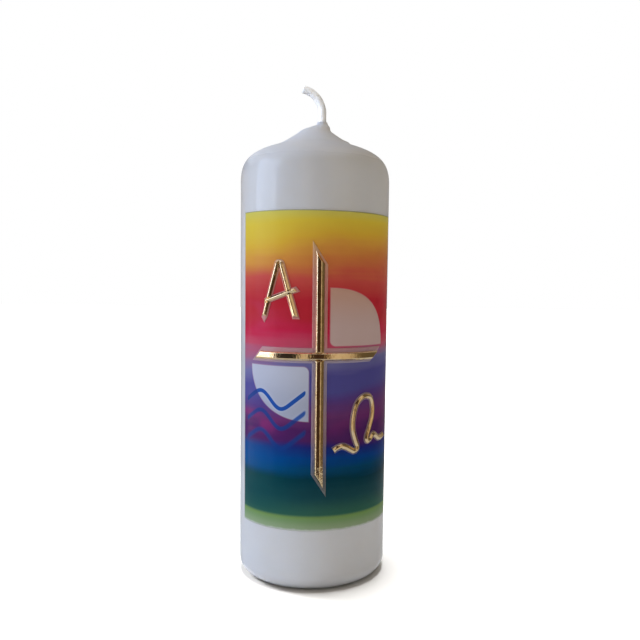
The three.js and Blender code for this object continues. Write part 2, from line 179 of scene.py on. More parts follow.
class Desk:
    """A node tree and the one method that adds nodes to it."""

    def __init__(self, tree: bpy.types.NodeTree) -> None:
        """Takes an empty node tree."""
        self.tree = tree

    def add(self, kind: str, settings: dict[str, Any], inputs: dict[Any, Any]) -> bpy.types.Node:
        """Adds a node.

        Args:
            kind: the node's type.
            settings: its properties. "stops" holds a ramp's places and colours.
            inputs: values, sockets or Value objects for its input sockets.

        Returns:
            The new node.
        """
        node = self.tree.nodes.new(kind)
        for name, setting in settings.items():
            if name == "stops":
                self._set_stops(node.color_ramp, setting)
            else:
                setattr(node, name, setting)
        self.feed(node, inputs)
        return node

    def feed(self, node: bpy.types.Node, inputs: dict[Any, Any]) -> None:
        """Sets or links a node's input sockets.

        Args:
            node: the node.
            inputs: values, sockets or Value objects by the socket's name or number.
        """
        for key, given in inputs.items():
            given = given.socket if isinstance(given, Value) else given
            if isinstance(given, bpy.types.NodeSocket):
                self.tree.links.new(given, node.inputs[key])
            else:
                node.inputs[key].default_value = given

    @staticmethod
    def _set_stops(ramp: bpy.types.ColorRamp, stops: Stops) -> None:
        """Replaces a colour ramp's stops."""
        while len(ramp.elements) > 1:
            ramp.elements.remove(ramp.elements[-1])
        ramp.elements[0].position = stops[0][0]
        ramp.elements[0].color = (*stops[0][1], 1.0)
        for place, colour in stops[1:]:
            ramp.elements.new(place).color = (*colour, 1.0)

    def blend(self, share: Value | float, first: Any, second: Any) -> bpy.types.NodeSocket:
        """Mixes two colours.

        Args:
            share: how much of the second colour shows.
            first: the first colour, or a socket.
            second: the second colour, or a socket.

        Returns:
            The mixed colour's socket.
        """
        first, second = ((*c, 1.0) if isinstance(c, tuple) else c for c in (first, second))
        inputs = {0: share, 6: first, 7: second}
        return self.add("ShaderNodeMix", {"data_type": "RGBA"}, inputs).outputs[2]

    def coordinates(self, output: str) -> bpy.types.NodeSocket:
        """The Texture Coordinate node's output of the given name."""
        return self.add("ShaderNodeTexCoord", {}, {}).outputs[output]

    def split(self, vector: bpy.types.NodeSocket) -> list[Value]:
        """A vector's three parts."""
        node = self.add("ShaderNodeSeparateXYZ", {}, {0: vector})
        return [Value(self, part) for part in node.outputs]

    def layout(self) -> list[Value]:
        """The place on the candle's side, in millimetres: distance round it, and height."""
        return self.split(self.coordinates("UV"))[:2]

    def seen(self) -> Value:
        """1 on rays from the camera, a reflection or a clear body, and 0 on diffuse light."""
        path = self.add("ShaderNodeLightPath", {}, {})
        kinds = ("Is Camera Ray", "Is Glossy Ray", "Is Transmission Ray")
        camera, glossy, clear = (Value(self, path.outputs[kind]) for kind in kinds)
        return camera.at_least(glossy).at_least(clear)

    def stretched(self, vector: bpy.types.NodeSocket,
                  scale: tuple[float, float, float]) -> bpy.types.NodeSocket:
        """A vector with each of its parts multiplied."""
        node = self.add("ShaderNodeVectorMath", {"operation": "MULTIPLY"}, {0: vector, 1: scale})
        return node.outputs[0]

    def noise(self, vector: bpy.types.NodeSocket, scale: float, detail: float = 2.0) -> Value:
        """Soft noise from about 0 to 1 with a mean of 0.5."""
        inputs = {"Vector": vector, "Scale": scale, "Detail": detail}
        return Value(self, self.add("ShaderNodeTexNoise", {}, inputs).outputs[0])

    def cells(self, vector: bpy.types.NodeSocket, scale: float) -> Value:
        """Distance to the nearest of many scattered points, smoothed, from 0 at a point."""
        inputs = {"Vector": vector, "Scale": scale, "Smoothness": 0.35}
        node = self.add("ShaderNodeTexVoronoi", {"feature": "SMOOTH_F1"}, inputs)
        return Value(self, node.outputs[0])

    def bump(self, height: Value, distance: float, strength: float = 1.0) -> bpy.types.NodeSocket:
        """A normal bent by a height map. distance is the height of 1, in metres."""
        inputs = {"Height": height, "Distance": distance, "Strength": strength}
        return self.add("ShaderNodeBump", {}, inputs).outputs[0]


def new_material(name: str) -> tuple[bpy.types.Material, Desk, bpy.types.Node]:
    """Makes a material with one Principled shader.

    Args:
        name: the material's name.

    Returns:
        The material, its desk and its shader node.
    """
    material = bpy.data.materials.new(name)
    material.use_nodes = True
    desk = Desk(material.node_tree)
    material.node_tree.nodes.clear()
    shader = desk.add("ShaderNodeBsdfPrincipled", {}, {})
    desk.add("ShaderNodeOutputMaterial", {}, {"Surface": shader.outputs[0]})
    return material, desk, shader


# Finishes


class Ink(Enum):
    """The inks of the film's bands, from the top down, as linear colours."""

    LEMON = (0.75, 0.66, 0.13)
    GOLDEN = (0.84, 0.62, 0.06)
    AMBER = (0.83, 0.50, 0.05)
    ORANGE = (0.79, 0.36, 0.06)
    CORAL = (0.72, 0.23, 0.06)
    SCARLET = (0.67, 0.09, 0.07)
    CRIMSON = (0.57, 0.025, 0.04)
    ROSE = (0.65, 0.022, 0.075)
    PINK = (0.62, 0.08, 0.14)
    MAUVE = (0.38, 0.16, 0.27)
    LILAC = (0.19, 0.18, 0.38)
    INDIGO = (0.095, 0.085, 0.31)
    VIOLET = (0.105, 0.055, 0.235)
    MAGENTA = (0.16, 0.04, 0.16)
    PLUM = (0.09, 0.02, 0.125)
    NAVY = (0.015, 0.022, 0.19)
    BLUE = (0.001, 0.055, 0.25)
    SEA = (0.001, 0.062, 0.15)
    TEAL = (0.001, 0.043, 0.066)
    PINE = (0.012, 0.07, 0.08)
    MOSS = (0.035, 0.13, 0.09)
    LIME = (0.20, 0.34, 0.10)
    LEAF = (0.22, 0.35, 0.15)
    PALE_LEAF = (0.36, 0.45, 0.27)


@dataclass(frozen=True)
class PrintedBands:
    """The film's bands of ink, run into each other like watercolour."""

    inner: Edges = ((36.0, 48.0), (169.0, 156.0))
    streaks: float = 3.0
    wander: float = 6.0
    sloped: Edges = ((72.0, 86.0), (112.0, 104.0))
    slope: float = -0.11
    left: Pair = (-8.0, -30.0)
    left_sink: float = 1.2
    sink_zone: Pair = (128.0, 136.0)
    left_lift: float = 4.2
    lift_zone: Pair = (141.5, 147.5)
    right: Pair = (-20.0, 12.0)
    right_drop: float = 4.4
    drop_zone: Pair = (138.0, 150.0)
    bloom_and_light_side: Pair = (-6.0, -30.0)
    red_zone: Edges = ((112.0, 120.0), (139.0, 130.0))
    red_bloom: Colour = (0.65, 0.055, 0.15)
    dark_zone: Edges = ((69.0, 74.0), (83.0, 79.0))
    dark_bloom: Colour = (0.30, 0.03, 0.17)
    lit_side: Pair = (2.0, -34.0)
    blue_zone: Edges = ((51.0, 56.0), (69.0, 64.0))
    lit_blue: Colour = (0.003, 0.10, 0.31)
    teal_zone: Edges = ((34.0, 38.0), (56.0, 51.0))
    lit_teal: Colour = (0.008, 0.085, 0.085)
    bands: tuple[tuple[float, Ink], ...] = (
        (169.0, Ink.LEMON),
        (164.5, Ink.GOLDEN),
        (156.5, Ink.AMBER),
        (151.0, Ink.ORANGE),
        (145.0, Ink.CORAL),
        (139.0, Ink.SCARLET),
        (130.5, Ink.CRIMSON),
        (123.0, Ink.CRIMSON),
        (116.5, Ink.ROSE),
        (111.5, Ink.PINK),
        (107.5, Ink.MAUVE),
        (103.0, Ink.LILAC),
        (96.5, Ink.INDIGO),
        (90.5, Ink.INDIGO),
        (86.0, Ink.VIOLET),
        (79.5, Ink.MAGENTA),
        (73.5, Ink.PLUM),
        (68.5, Ink.PLUM),
        (65.0, Ink.NAVY),
        (60.5, Ink.BLUE),
        (56.0, Ink.SEA),
        (51.5, Ink.TEAL),
        (43.0, Ink.PINE),
        (37.0, Ink.MOSS),
        (35.6, Ink.MOSS),
        (34.4, Ink.LIME),
        (32.6, Ink.LEAF),
        (28.4, Ink.PALE_LEAF),
    )

    def colour(self, desk: Desk) -> bpy.types.NodeSocket:
        """The ink's colour at a place of the layout: the bands are read at the height, which
        wanders with broad noise and long streaks except near the two ends. The yellow reaches
        further down at the left than at the right. Soft magenta blooms lie over the red and
        the violet at the left: their mottling is print, and their lean to the left is painted
        light. The blue and the teal are painted lighter at the left too.

        Args:
            desk: the material's desk.

        Returns:
            The colour's socket.
        """
        across, height = desk.layout()
        place = desk.coordinates("UV")
        broad = desk.noise(desk.stretched(place, (0.035, 0.085, 1.0)), 1.0) - 0.5
        streak = desk.noise(desk.stretched(place, (0.016, 0.42, 1.0)), 1.0, 3.0) - 0.5
        lift = height.step(*self.lift_zone) * self.left_lift
        lift = across.step(*self.left) * (lift - height.step(*self.sink_zone) * self.left_sink)
        drop = across.step(*self.right) * height.step(*self.drop_zone) * self.right_drop
        tilt = across * height.within(self.sloped) * self.slope + lift - drop
        wandering = broad * self.wander + streak * self.streaks + tilt
        read = height + wandering * height.within(self.inner)
        span = FILM_TOP - FILM_FOOT
        share = (read - FILM_FOOT) / span
        stops = [((at - FILM_FOOT) / span, ink.value) for at, ink in reversed(self.bands)]
        ink = desk.add("ShaderNodeValToRGB", {"stops": stops}, {0: share}).outputs[0]
        cloud = desk.noise(desk.stretched(place, (0.06, 0.11, 1.0)), 1.0, 1.0).step(0.42, 0.66)
        # The blooms' mottling is print; their lean to the left is painted light.
        bloom_and_light_side = across.step(*self.bloom_and_light_side) * 0.6
        lit_side = across.step(*self.lit_side)
        for share, over in (
            (cloud * height.within(self.red_zone) * (bloom_and_light_side + 0.1) * 0.36, self.red_bloom),
            (cloud * height.within(self.dark_zone) * (bloom_and_light_side + 0.3) * 0.72, self.dark_bloom),
            # Painted light: the blue and the teal are lighter at the left.
            (height.within(self.blue_zone) * lit_side * 0.65, self.lit_blue),
            (height.within(self.teal_zone) * lit_side * 0.6, self.lit_teal),
        ):
            ink = desk.blend(share, ink, over)
        return ink


@dataclass(frozen=True)
class WaxFinish:
    """White wax: light passes a little way into it, and its skin is satin, faintly uneven,
    and duller on the cone. The cone is also paler, partly for its frosted wax and partly as painted
    light on the candle's top."""

    name: str
    colour: Colour
    shade: Colour
    roughness: float
    shine: float = 0.3
    depth: float = 0.35
    relief: float = 0.00012
    frost_and_top_light: Colour = (0.96, 0.96, 1.0)
    cone: Pair = (0.188, 0.203)

    def material(self) -> bpy.types.Material:
        """Makes the wax's material on Object coordinates."""
        material, desk, shader = new_material(self.name)
        place = desk.coordinates("Object")
        cloud = desk.noise(place, 32.0, 3.0).step(0.35, 0.7)
        grain = desk.noise(place, 900.0, 2.0)
        soft = desk.noise(desk.stretched(place, (1.0, 1.0, 0.35)), 160.0, 2.0)
        on_cone = desk.split(place)[2].step(*self.cone)
        skin = desk.blend(cloud, self.colour, self.shade)
        desk.feed(shader, {
            # Paler on the cone: frosted wax, and painted light on the candle's top.
            "Base Color": desk.blend(on_cone * 0.6, skin, self.frost_and_top_light),
            "Roughness": soft * 0.08 + on_cone * 0.34 + (self.roughness - 0.04),
            "Normal": desk.bump(soft + grain * 0.12, self.relief, 0.6),
            "Subsurface Weight": self.depth,
            "Subsurface Radius": (1.0, 0.85, 0.7),
            "Subsurface Scale": 0.003,
            "Specular IOR Level": self.shine,
        })
        return material


@dataclass(frozen=True)
class FilmFinish:
    """The printed film: bands of ink, two pale quarter windows, three blue waves and a painted
    shadow line along its top edge.
    """

    bands: PrintedBands
    window_edge: float = 4.6
    window_corner: float = 2.5
    sun_form: tuple[float, float, float] = (29.5, 25.2, 2.25)
    bowl_form: tuple[float, float, float] = (29.4, 24.0, 2.0)
    sun: Colour = (0.64, 0.46, 0.42)
    sun_glow: Colour = (0.64, 0.34, 0.22)
    sun_fade: Pair = (117.0, 138.0)
    bowl: Colour = (0.57, 0.585, 0.67)
    bowl_foot: Colour = (0.40, 0.43, 0.53)
    bowl_fade: Pair = (101.0, 81.0)
    halo: Colour = (0.66, 0.36, 0.42)
    halo_edges: Edges = ((-0.55, -0.1), (0.75, 0.25))
    wave_blue: Colour = (0.012, 0.085, 0.40)
    sunk_blue: Colour = (0.010, 0.055, 0.26)
    wave_glow: Colour = (0.62, 0.70, 0.82)
    side_white: Colour = (0.70, 0.69, 0.66)
    foot_white: Colour = (0.70, 0.70, 0.66)
    top_shadow_line: Colour = (0.34, 0.36, 0.24)
    wave_rise: tuple[float, float, float] = (-37.1, 85.5, 0.60)
    wave_fall: tuple[float, float, float] = (-23.8, 87.8, -1.10)
    wave_return: tuple[float, float, float] = (-13.3, 84.4, 0.80)
    wave_softness: float = 9.5
    wave_gap: float = 8.8
    wave_half_width: float = 0.9
    wave_left: float = -37.1
    wave_right: float = -6.9

    def window(self, across: Value, height: Value, side: float) -> Value:
        """How far a place lies inside a quarter window, in millimetres. The window is a
        swollen quarter ellipse whose corner is rounded: the least of the distances to its two
        straight sides, its curve and its corner circle.

        Args:
            across: distance round the candle.
            height: height above the base.
            side: 1 for the window up to the right, -1 for the one down to the left.

        Returns:
            The distance inwards, below zero outside.
        """
        reach, rise, fullness = self.sun_form if side > 0 else self.bowl_form
        u = (across - CROSS_MIDDLE) * side - self.window_edge
        v = (height - BAR_HEIGHT) * side - self.window_edge
        wide = (u / reach).at_least(0.0) ** fullness
        tall = (v / rise).at_least(0.0) ** fullness
        inside_curve = (1.0 - (wide + tall) ** (1.0 / fullness)) * (0.5 * (reach + rise))
        du = (self.window_corner - u).at_least(0.0)
        dv = (self.window_corner - v).at_least(0.0)
        inside_corner = self.window_corner - (du * du + dv * dv) ** 0.5
        return inside_curve.at_most(inside_corner).at_most(u).at_most(v)

    def wave(self, across: Value, height: Value, index: int) -> Value:
        """Distance from a place to a wave line, in millimetres. The line rises, falls and
        rises again on three straight lines that run smoothly into each other, and its ends
        are round.

        Args:
            across: distance round the candle.
            height: height above the base.
            index: 0 for the top wave.

        Returns:
            The distance.
        """
        def line(at: Value) -> Value:
            """Height of the line's middle at a distance round the candle."""
            up, down, back = (
                (at - start) * slope + (level - index * self.wave_gap)
                for start, level, slope in (self.wave_rise, self.wave_fall, self.wave_return)
            )
            crest = up.math("SMOOTH_MIN", down, self.wave_softness)
            return crest.math("SMOOTH_MAX", back, self.wave_softness)

        slope = (line(across + 0.4) - line(across - 0.4)) / 0.8
        past = (across - self.wave_right).at_least(self.wave_left - across).at_least(0.0)
        away = (height - line(across)) / (slope * slope + 1.0) ** 0.5
        return (away * away + past * past) ** 0.5

    def material(self) -> bpy.types.Material:
        """Makes the film's material on its layout map."""
        material, desk, shader = new_material("printed_film")
        across, height = desk.layout()
        place = desk.coordinates("UV")
        ink = self.bands.colour(desk)

        top_window = self.window(across, height, 1.0)
        low_window = self.window(across, height, -1.0)
        either = top_window.at_least(low_window)
        ink = desk.blend(either.within(self.halo_edges) * 0.35, ink, self.halo)
        sun = desk.blend(height.step(*self.sun_fade) * 0.75, self.sun, self.sun_glow)
        ink = desk.blend(top_window.step(-0.12, 0.12), ink, sun)
        bowl = desk.blend(height.step(*self.bowl_fade) * 0.8, self.bowl, self.bowl_foot)
        ink = desk.blend(low_window.step(-0.12, 0.12), ink, bowl)

        clear = either.step(-0.1, 0.1)
        for index in range(3):
            away = self.wave(across, height, index)
            glow = away.step(self.wave_half_width + 1.0, self.wave_half_width) * clear
            ink = desk.blend(glow * 0.3, ink, self.wave_glow)
            blur = 0.18 + 0.22 * index
            fade = self.wave_half_width + blur + 0.1 * index
            line = away.step(fade, self.wave_half_width - blur)
            strength = clear * 0.08 + (0.90 - 0.05 * index)
            blue = desk.blend(clear, self.sunk_blue, self.wave_blue)
            ink = desk.blend(line * strength, ink, blue)

        side = (across - FILM_LEFT).at_most(FILM_RIGHT - across)
        ink = desk.blend(side.step(0.9, 0.1) * 0.5, ink, self.side_white)
        frayed = desk.noise(desk.stretched(place, (0.22, 0.0, 1.0)), 1.0) * 1.3
        foot = (height - FILM_FOOT - frayed).step(0.5, -0.5)
        ink = desk.blend(foot * 0.7, ink, self.foot_white)
        # Painted shadow: a thin darker line along the top edge, for the shade at the film's edge.
        edge = (FILM_TOP - height).step(0.55, 0.15)
        ink = desk.blend(edge * 0.55, ink, self.top_shadow_line)

        ripple = desk.noise(desk.stretched(place, (0.12, 0.12, 1.0)), 1.0)
        relief = ripple * 0.5 - clear * 0.6
        desk.feed(shader, {
            "Base Color": ink,
            "Roughness": ripple * 0.08 + 0.18,
            "Normal": desk.bump(relief, 0.0001, 0.5),
            "Specular IOR Level": 0.035,
        })
        return material


@dataclass(frozen=True)
class RimFinish:
    """Pale wax under the gold, thin enough to take a tint from the print behind it, and
    clearer lower down."""

    bands: PrintedBands
    pale: Colour = (0.68, 0.52, 0.44)
    share: float = 0.42
    clearer: Pair = (78.0, 56.0)

    def material(self) -> bpy.types.Material:
        """Makes the rim's material on its layout map."""
        material, desk, shader = new_material("pale_rim")
        place = desk.coordinates("UV")
        cloud = desk.noise(place, 0.6)
        _, height = desk.layout()
        share = cloud * 0.16 + (self.share - 0.08) - height.step(*self.clearer) * 0.2
        tint = desk.blend(share, self.bands.colour(desk), self.pale)
        desk.feed(shader, {
            "Base Color": tint,
            "Roughness": cloud * 0.2 + 0.22,
            "Normal": desk.bump(desk.noise(place, 1.6), 0.00008, 0.6),
            "Subsurface Weight": 0.2,
            "Subsurface Radius": (1.0, 0.8, 0.7),
            "Subsurface Scale": 0.0012,
            "Specular IOR Level": 0.25,
        })
        return material


@dataclass(frozen=True)
class GoldFinish:
    """Gold foil on pressed wax: bright, with small hammer marks and fine creases."""

    colour: Colour = (0.90, 0.70, 0.44)
    deep: Colour = (0.80, 0.56, 0.29)

    def material(self) -> bpy.types.Material:
        """Makes the foil's material on its layout map."""
        material, desk, shader = new_material("gold_foil")
        place = desk.coordinates("UV")
        marks = desk.cells(desk.stretched(place, (1.5, 1.0, 1.0)), 1.0)
        crease = desk.noise(desk.stretched(place, (2.4, 1.1, 1.0)), 1.0, 3.0)
        worn = desk.noise(place, 0.35, 3.0).step(0.45, 0.72)
        desk.feed(shader, {
            "Base Color": desk.blend(worn * 0.7, self.colour, self.deep),
            "Metallic": 1.0,
            "Roughness": crease * 0.12 + 0.05,
            "Normal": desk.bump(marks * 0.8 + crease * 0.4, 0.00009, 0.5),
        })
        return material


@dataclass(frozen=True)
class WickFinish:
    """Braided cotton soaked in wax, with a cut end that is a little darker and greener, and shade
    painted into the grooves between its strands.
    """

    cotton: Colour = (0.95, 0.955, 0.96)
    groove: Colour = (0.89, 0.90, 0.92)
    cut: Colour = (0.80, 0.87, 0.86)
    cut_from: float = 232.9
    length: float = 233.4

    def material(self) -> bpy.types.Material:
        """Makes the wick's material on its map: distance round it and along it."""
        material, desk, shader = new_material("wick_cotton")
        _, along = desk.layout()
        place = desk.coordinates("UV")
        fibre = desk.noise(desk.stretched(place, (7.0, 1.4, 1.0)), 1.0, 3.0)
        groove = desk.add("ShaderNodeAttribute", {"attribute_name": "groove"}, {})
        depth = Value(desk, groove.outputs[2])
        # Painted shade: the cotton is darker in the grooves between the strands.
        yarn = desk.blend(depth.step(0.25, 0.9) * 0.8, self.cotton, self.groove)
        # The fibres' streaks take the same darker colour, as grain.
        yarn = desk.blend(fibre.step(0.5, 0.8) * 0.12, yarn, self.groove)
        yarn = desk.blend(along.step(self.cut_from, self.length), yarn, self.cut)
        desk.feed(shader, {
            "Base Color": yarn,
            "Roughness": fibre * 0.2 + 0.34,
            "Normal": desk.bump(fibre, 0.00004, 0.4),
            "Subsurface Weight": 0.6,
            "Subsurface Radius": (1.0, 0.95, 0.9),
            "Subsurface Scale": 0.0012,
            "Coat Weight": 0.35,
            "Coat Roughness": 0.18,
        })
        return material


# Surfaces


@dataclass
class Skin:
    """A surface in millimetres, with a layout place for each point.

    quads holds four point numbers a face, and ends holds rings that are closed by one face.
    """

    points: np.ndarray
    quads: np.ndarray
    ends: list[list[int]]
    layout: np.ndarray

    def and_also(self, other: "Skin") -> "Skin":
        """This surface and another one as a single surface."""
        shift = len(self.points)
        return Skin(
            np.concatenate([self.points, other.points]),
            np.concatenate([self.quads, other.quads + shift]),
            self.ends + [[number + shift for number in ring] for ring in other.ends],
            np.concatenate([self.layout, other.layout]),
        )


def grid_quads(rows: int, columns: int, ring: bool = False, loop: bool = False) -> np.ndarray:
    """Faces of a grid of points, numbered row by row. A face looks to the side from which the
    columns run to the right and the rows run up.

    Args:
        rows: the number of rows.
        columns: the number of columns.
        ring: whether the last column joins the first.
        loop: whether the last row joins the first.

    Returns:
        Four point numbers for each face.
    """
    row = np.arange(rows if loop else rows - 1)[:, None]
    column = np.arange(columns if ring else columns - 1)[None, :]
    above = (row + 1) % rows
    beside = (column + 1) % columns
    corners = [row * columns + column, row * columns + beside,
               above * columns + beside, above * columns + column]
    return np.stack(corners, axis=-1).reshape(-1, 4)


def set_layout(mesh: bpy.types.Mesh, layout: np.ndarray) -> None:
    """Gives a mesh a map that holds the layout place of each point."""
    corner = np.empty(len(mesh.loops), np.int32)
    mesh.loops.foreach_get("vertex_index", corner)
    places = layout[corner].astype(np.float32).ravel()
    mesh.uv_layers.new(name="layout").data.foreach_set("uv", places)


def make_piece(name: str, skin: Skin, material: bpy.types.Material,
               replaced: str, groove: np.ndarray | None = None) -> bpy.types.Object:
    """Turns a surface into a piece of the candle that stands for a node.

    Args:
        name: the piece's name.
        skin: its surface.
        material: its finish.
        replaced: the node that it stands for.
        groove: depth of the grooves at each point, where the finish reads it.

    Returns:
        The new object.
    """
    mesh = bpy.data.meshes.new(name)
    faces = skin.quads.tolist() + skin.ends
    mesh.from_pydata((skin.points * MM).tolist(), [], faces)
    mesh.polygons.foreach_set("use_smooth", np.ones(len(mesh.polygons), bool))
    set_layout(mesh, skin.layout)
    if groove is not None:
        depths = mesh.attributes.new("groove", "FLOAT", "POINT")
        depths.data.foreach_set("value", groove.astype(np.float32))
    mesh.materials.append(material)
    mesh.update()
    piece = bpy.data.objects.new(name, mesh)
    bpy.context.scene.collection.objects.link(piece)
    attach(piece, BODY)
    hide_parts(replaced)
    log.info("%s: %d points, %d faces, stands for %s",
             name, len(mesh.vertices), len(mesh.polygons), replaced)
    return piece


def smooth_step(value: np.ndarray, low: float, high: float) -> np.ndarray:
    """A smooth step: t * t * (3 - 2 t), where t runs from 0 at low to 1 at high."""
    share = np.clip((np.asarray(value, float) - low) / (high - low), 0.0, 1.0)
    return share * share * (3.0 - 2.0 * share)


def soft_least(first: np.ndarray, second: np.ndarray, width: float) -> np.ndarray:
    """The lesser of two values with a rounded change-over: -w log(exp(-a/w) + exp(-b/w))."""
    return -width * np.logaddexp(-first / width, -second / width)


def bezier(corners: list[tuple[float, float]], count: int) -> np.ndarray:
    """Points of a cubic curve from four control points, its first one left out."""
    share = np.linspace(0.0, 1.0, count + 1)[1:, None]
    rest = 1.0 - share
    weights = [rest**3, 3 * rest**2 * share, 3 * rest * share**2, share**3]
    return sum(weight * np.array(corner) for weight, corner in zip(weights, corners))


def straight(start: tuple[float, float], end: tuple[float, float], count: int) -> np.ndarray:
    """Evenly spaced points of a line, its first one left out."""
    share = np.linspace(0.0, 1.0, count + 1)[1:, None]
    return np.array(start) * (1.0 - share) + np.array(end) * share


def quarter(centre: tuple[float, float], radius: float, count: int) -> np.ndarray:
    """Points of a quarter circle from its bottom to its outer side, its first one left out."""
    angle = np.linspace(-math.pi / 2, 0.0, count + 1)[1:]
    return np.array(centre) + radius * np.stack([np.cos(angle), np.sin(angle)], axis=1)


def places_along(corners: Any, share: np.ndarray) -> np.ndarray:
    """Points of a polyline at shares of its length.

    Args:
        corners: the polyline's corners.
        share: shares from 0 to 1.

    Returns:
        A point for each share.
    """
    line = np.array(corners, float)
    far = np.concatenate([[0.0], np.cumsum(np.linalg.norm(np.diff(line, axis=0), axis=1))])
    return np.stack([np.interp(share * far[-1], far, part) for part in line.T], axis=-1)


def around(angle: Any, radius: Any, height: Any) -> np.ndarray:
    """A grid of points: r sin(a), -r cos(a) and z, for angles from -Y towards +X."""
    angle, radius, height = np.broadcast_arrays(angle, radius, height)
    return np.stack([radius * np.sin(angle), -radius * np.cos(angle), height], axis=-1)


def wrap(across: np.ndarray, height: np.ndarray, level: np.ndarray) -> np.ndarray:
    """Bends a layout round the candle. level is the height above the wax."""
    return around(across / CANDLE_RADIUS, CANDLE_RADIUS + level, height)


def scatter(column: np.ndarray, row: np.ndarray, seed: float) -> np.ndarray:
    """A fixed number from 0 to 1 for each whole-numbered place: the fraction of a large sine."""
    return np.mod(np.sin(column * 127.1 + row * 311.7 + seed) * 43758.5453, 1.0)


def dents(across: np.ndarray, along: np.ndarray, pitch: float, seed: float) -> np.ndarray:
    """Round dents round scattered points, one in each square of the pitch: 1 - d * d, where d
    is the distance to the nearest point in pitches, and not below 0.

    Args:
        across: first coordinate.
        along: second coordinate.
        pitch: distance between dents.
        seed: picks the scatter.

    Returns:
        Depths from 0 to 1.
    """
    u, v = across / pitch, along / pitch
    nearest = np.full(u.shape, 9.0)
    for du in (-1, 0, 1):
        for dv in (-1, 0, 1):
            column, row = np.floor(u) + du, np.floor(v) + dv
            x = column + scatter(column, row, seed)
            y = row + scatter(column, row, seed + 5.3)
            nearest = np.minimum(nearest, (u - x) ** 2 + (v - y) ** 2)
    return np.clip(1.0 - nearest, 0.0, 1.0)


# Candle body


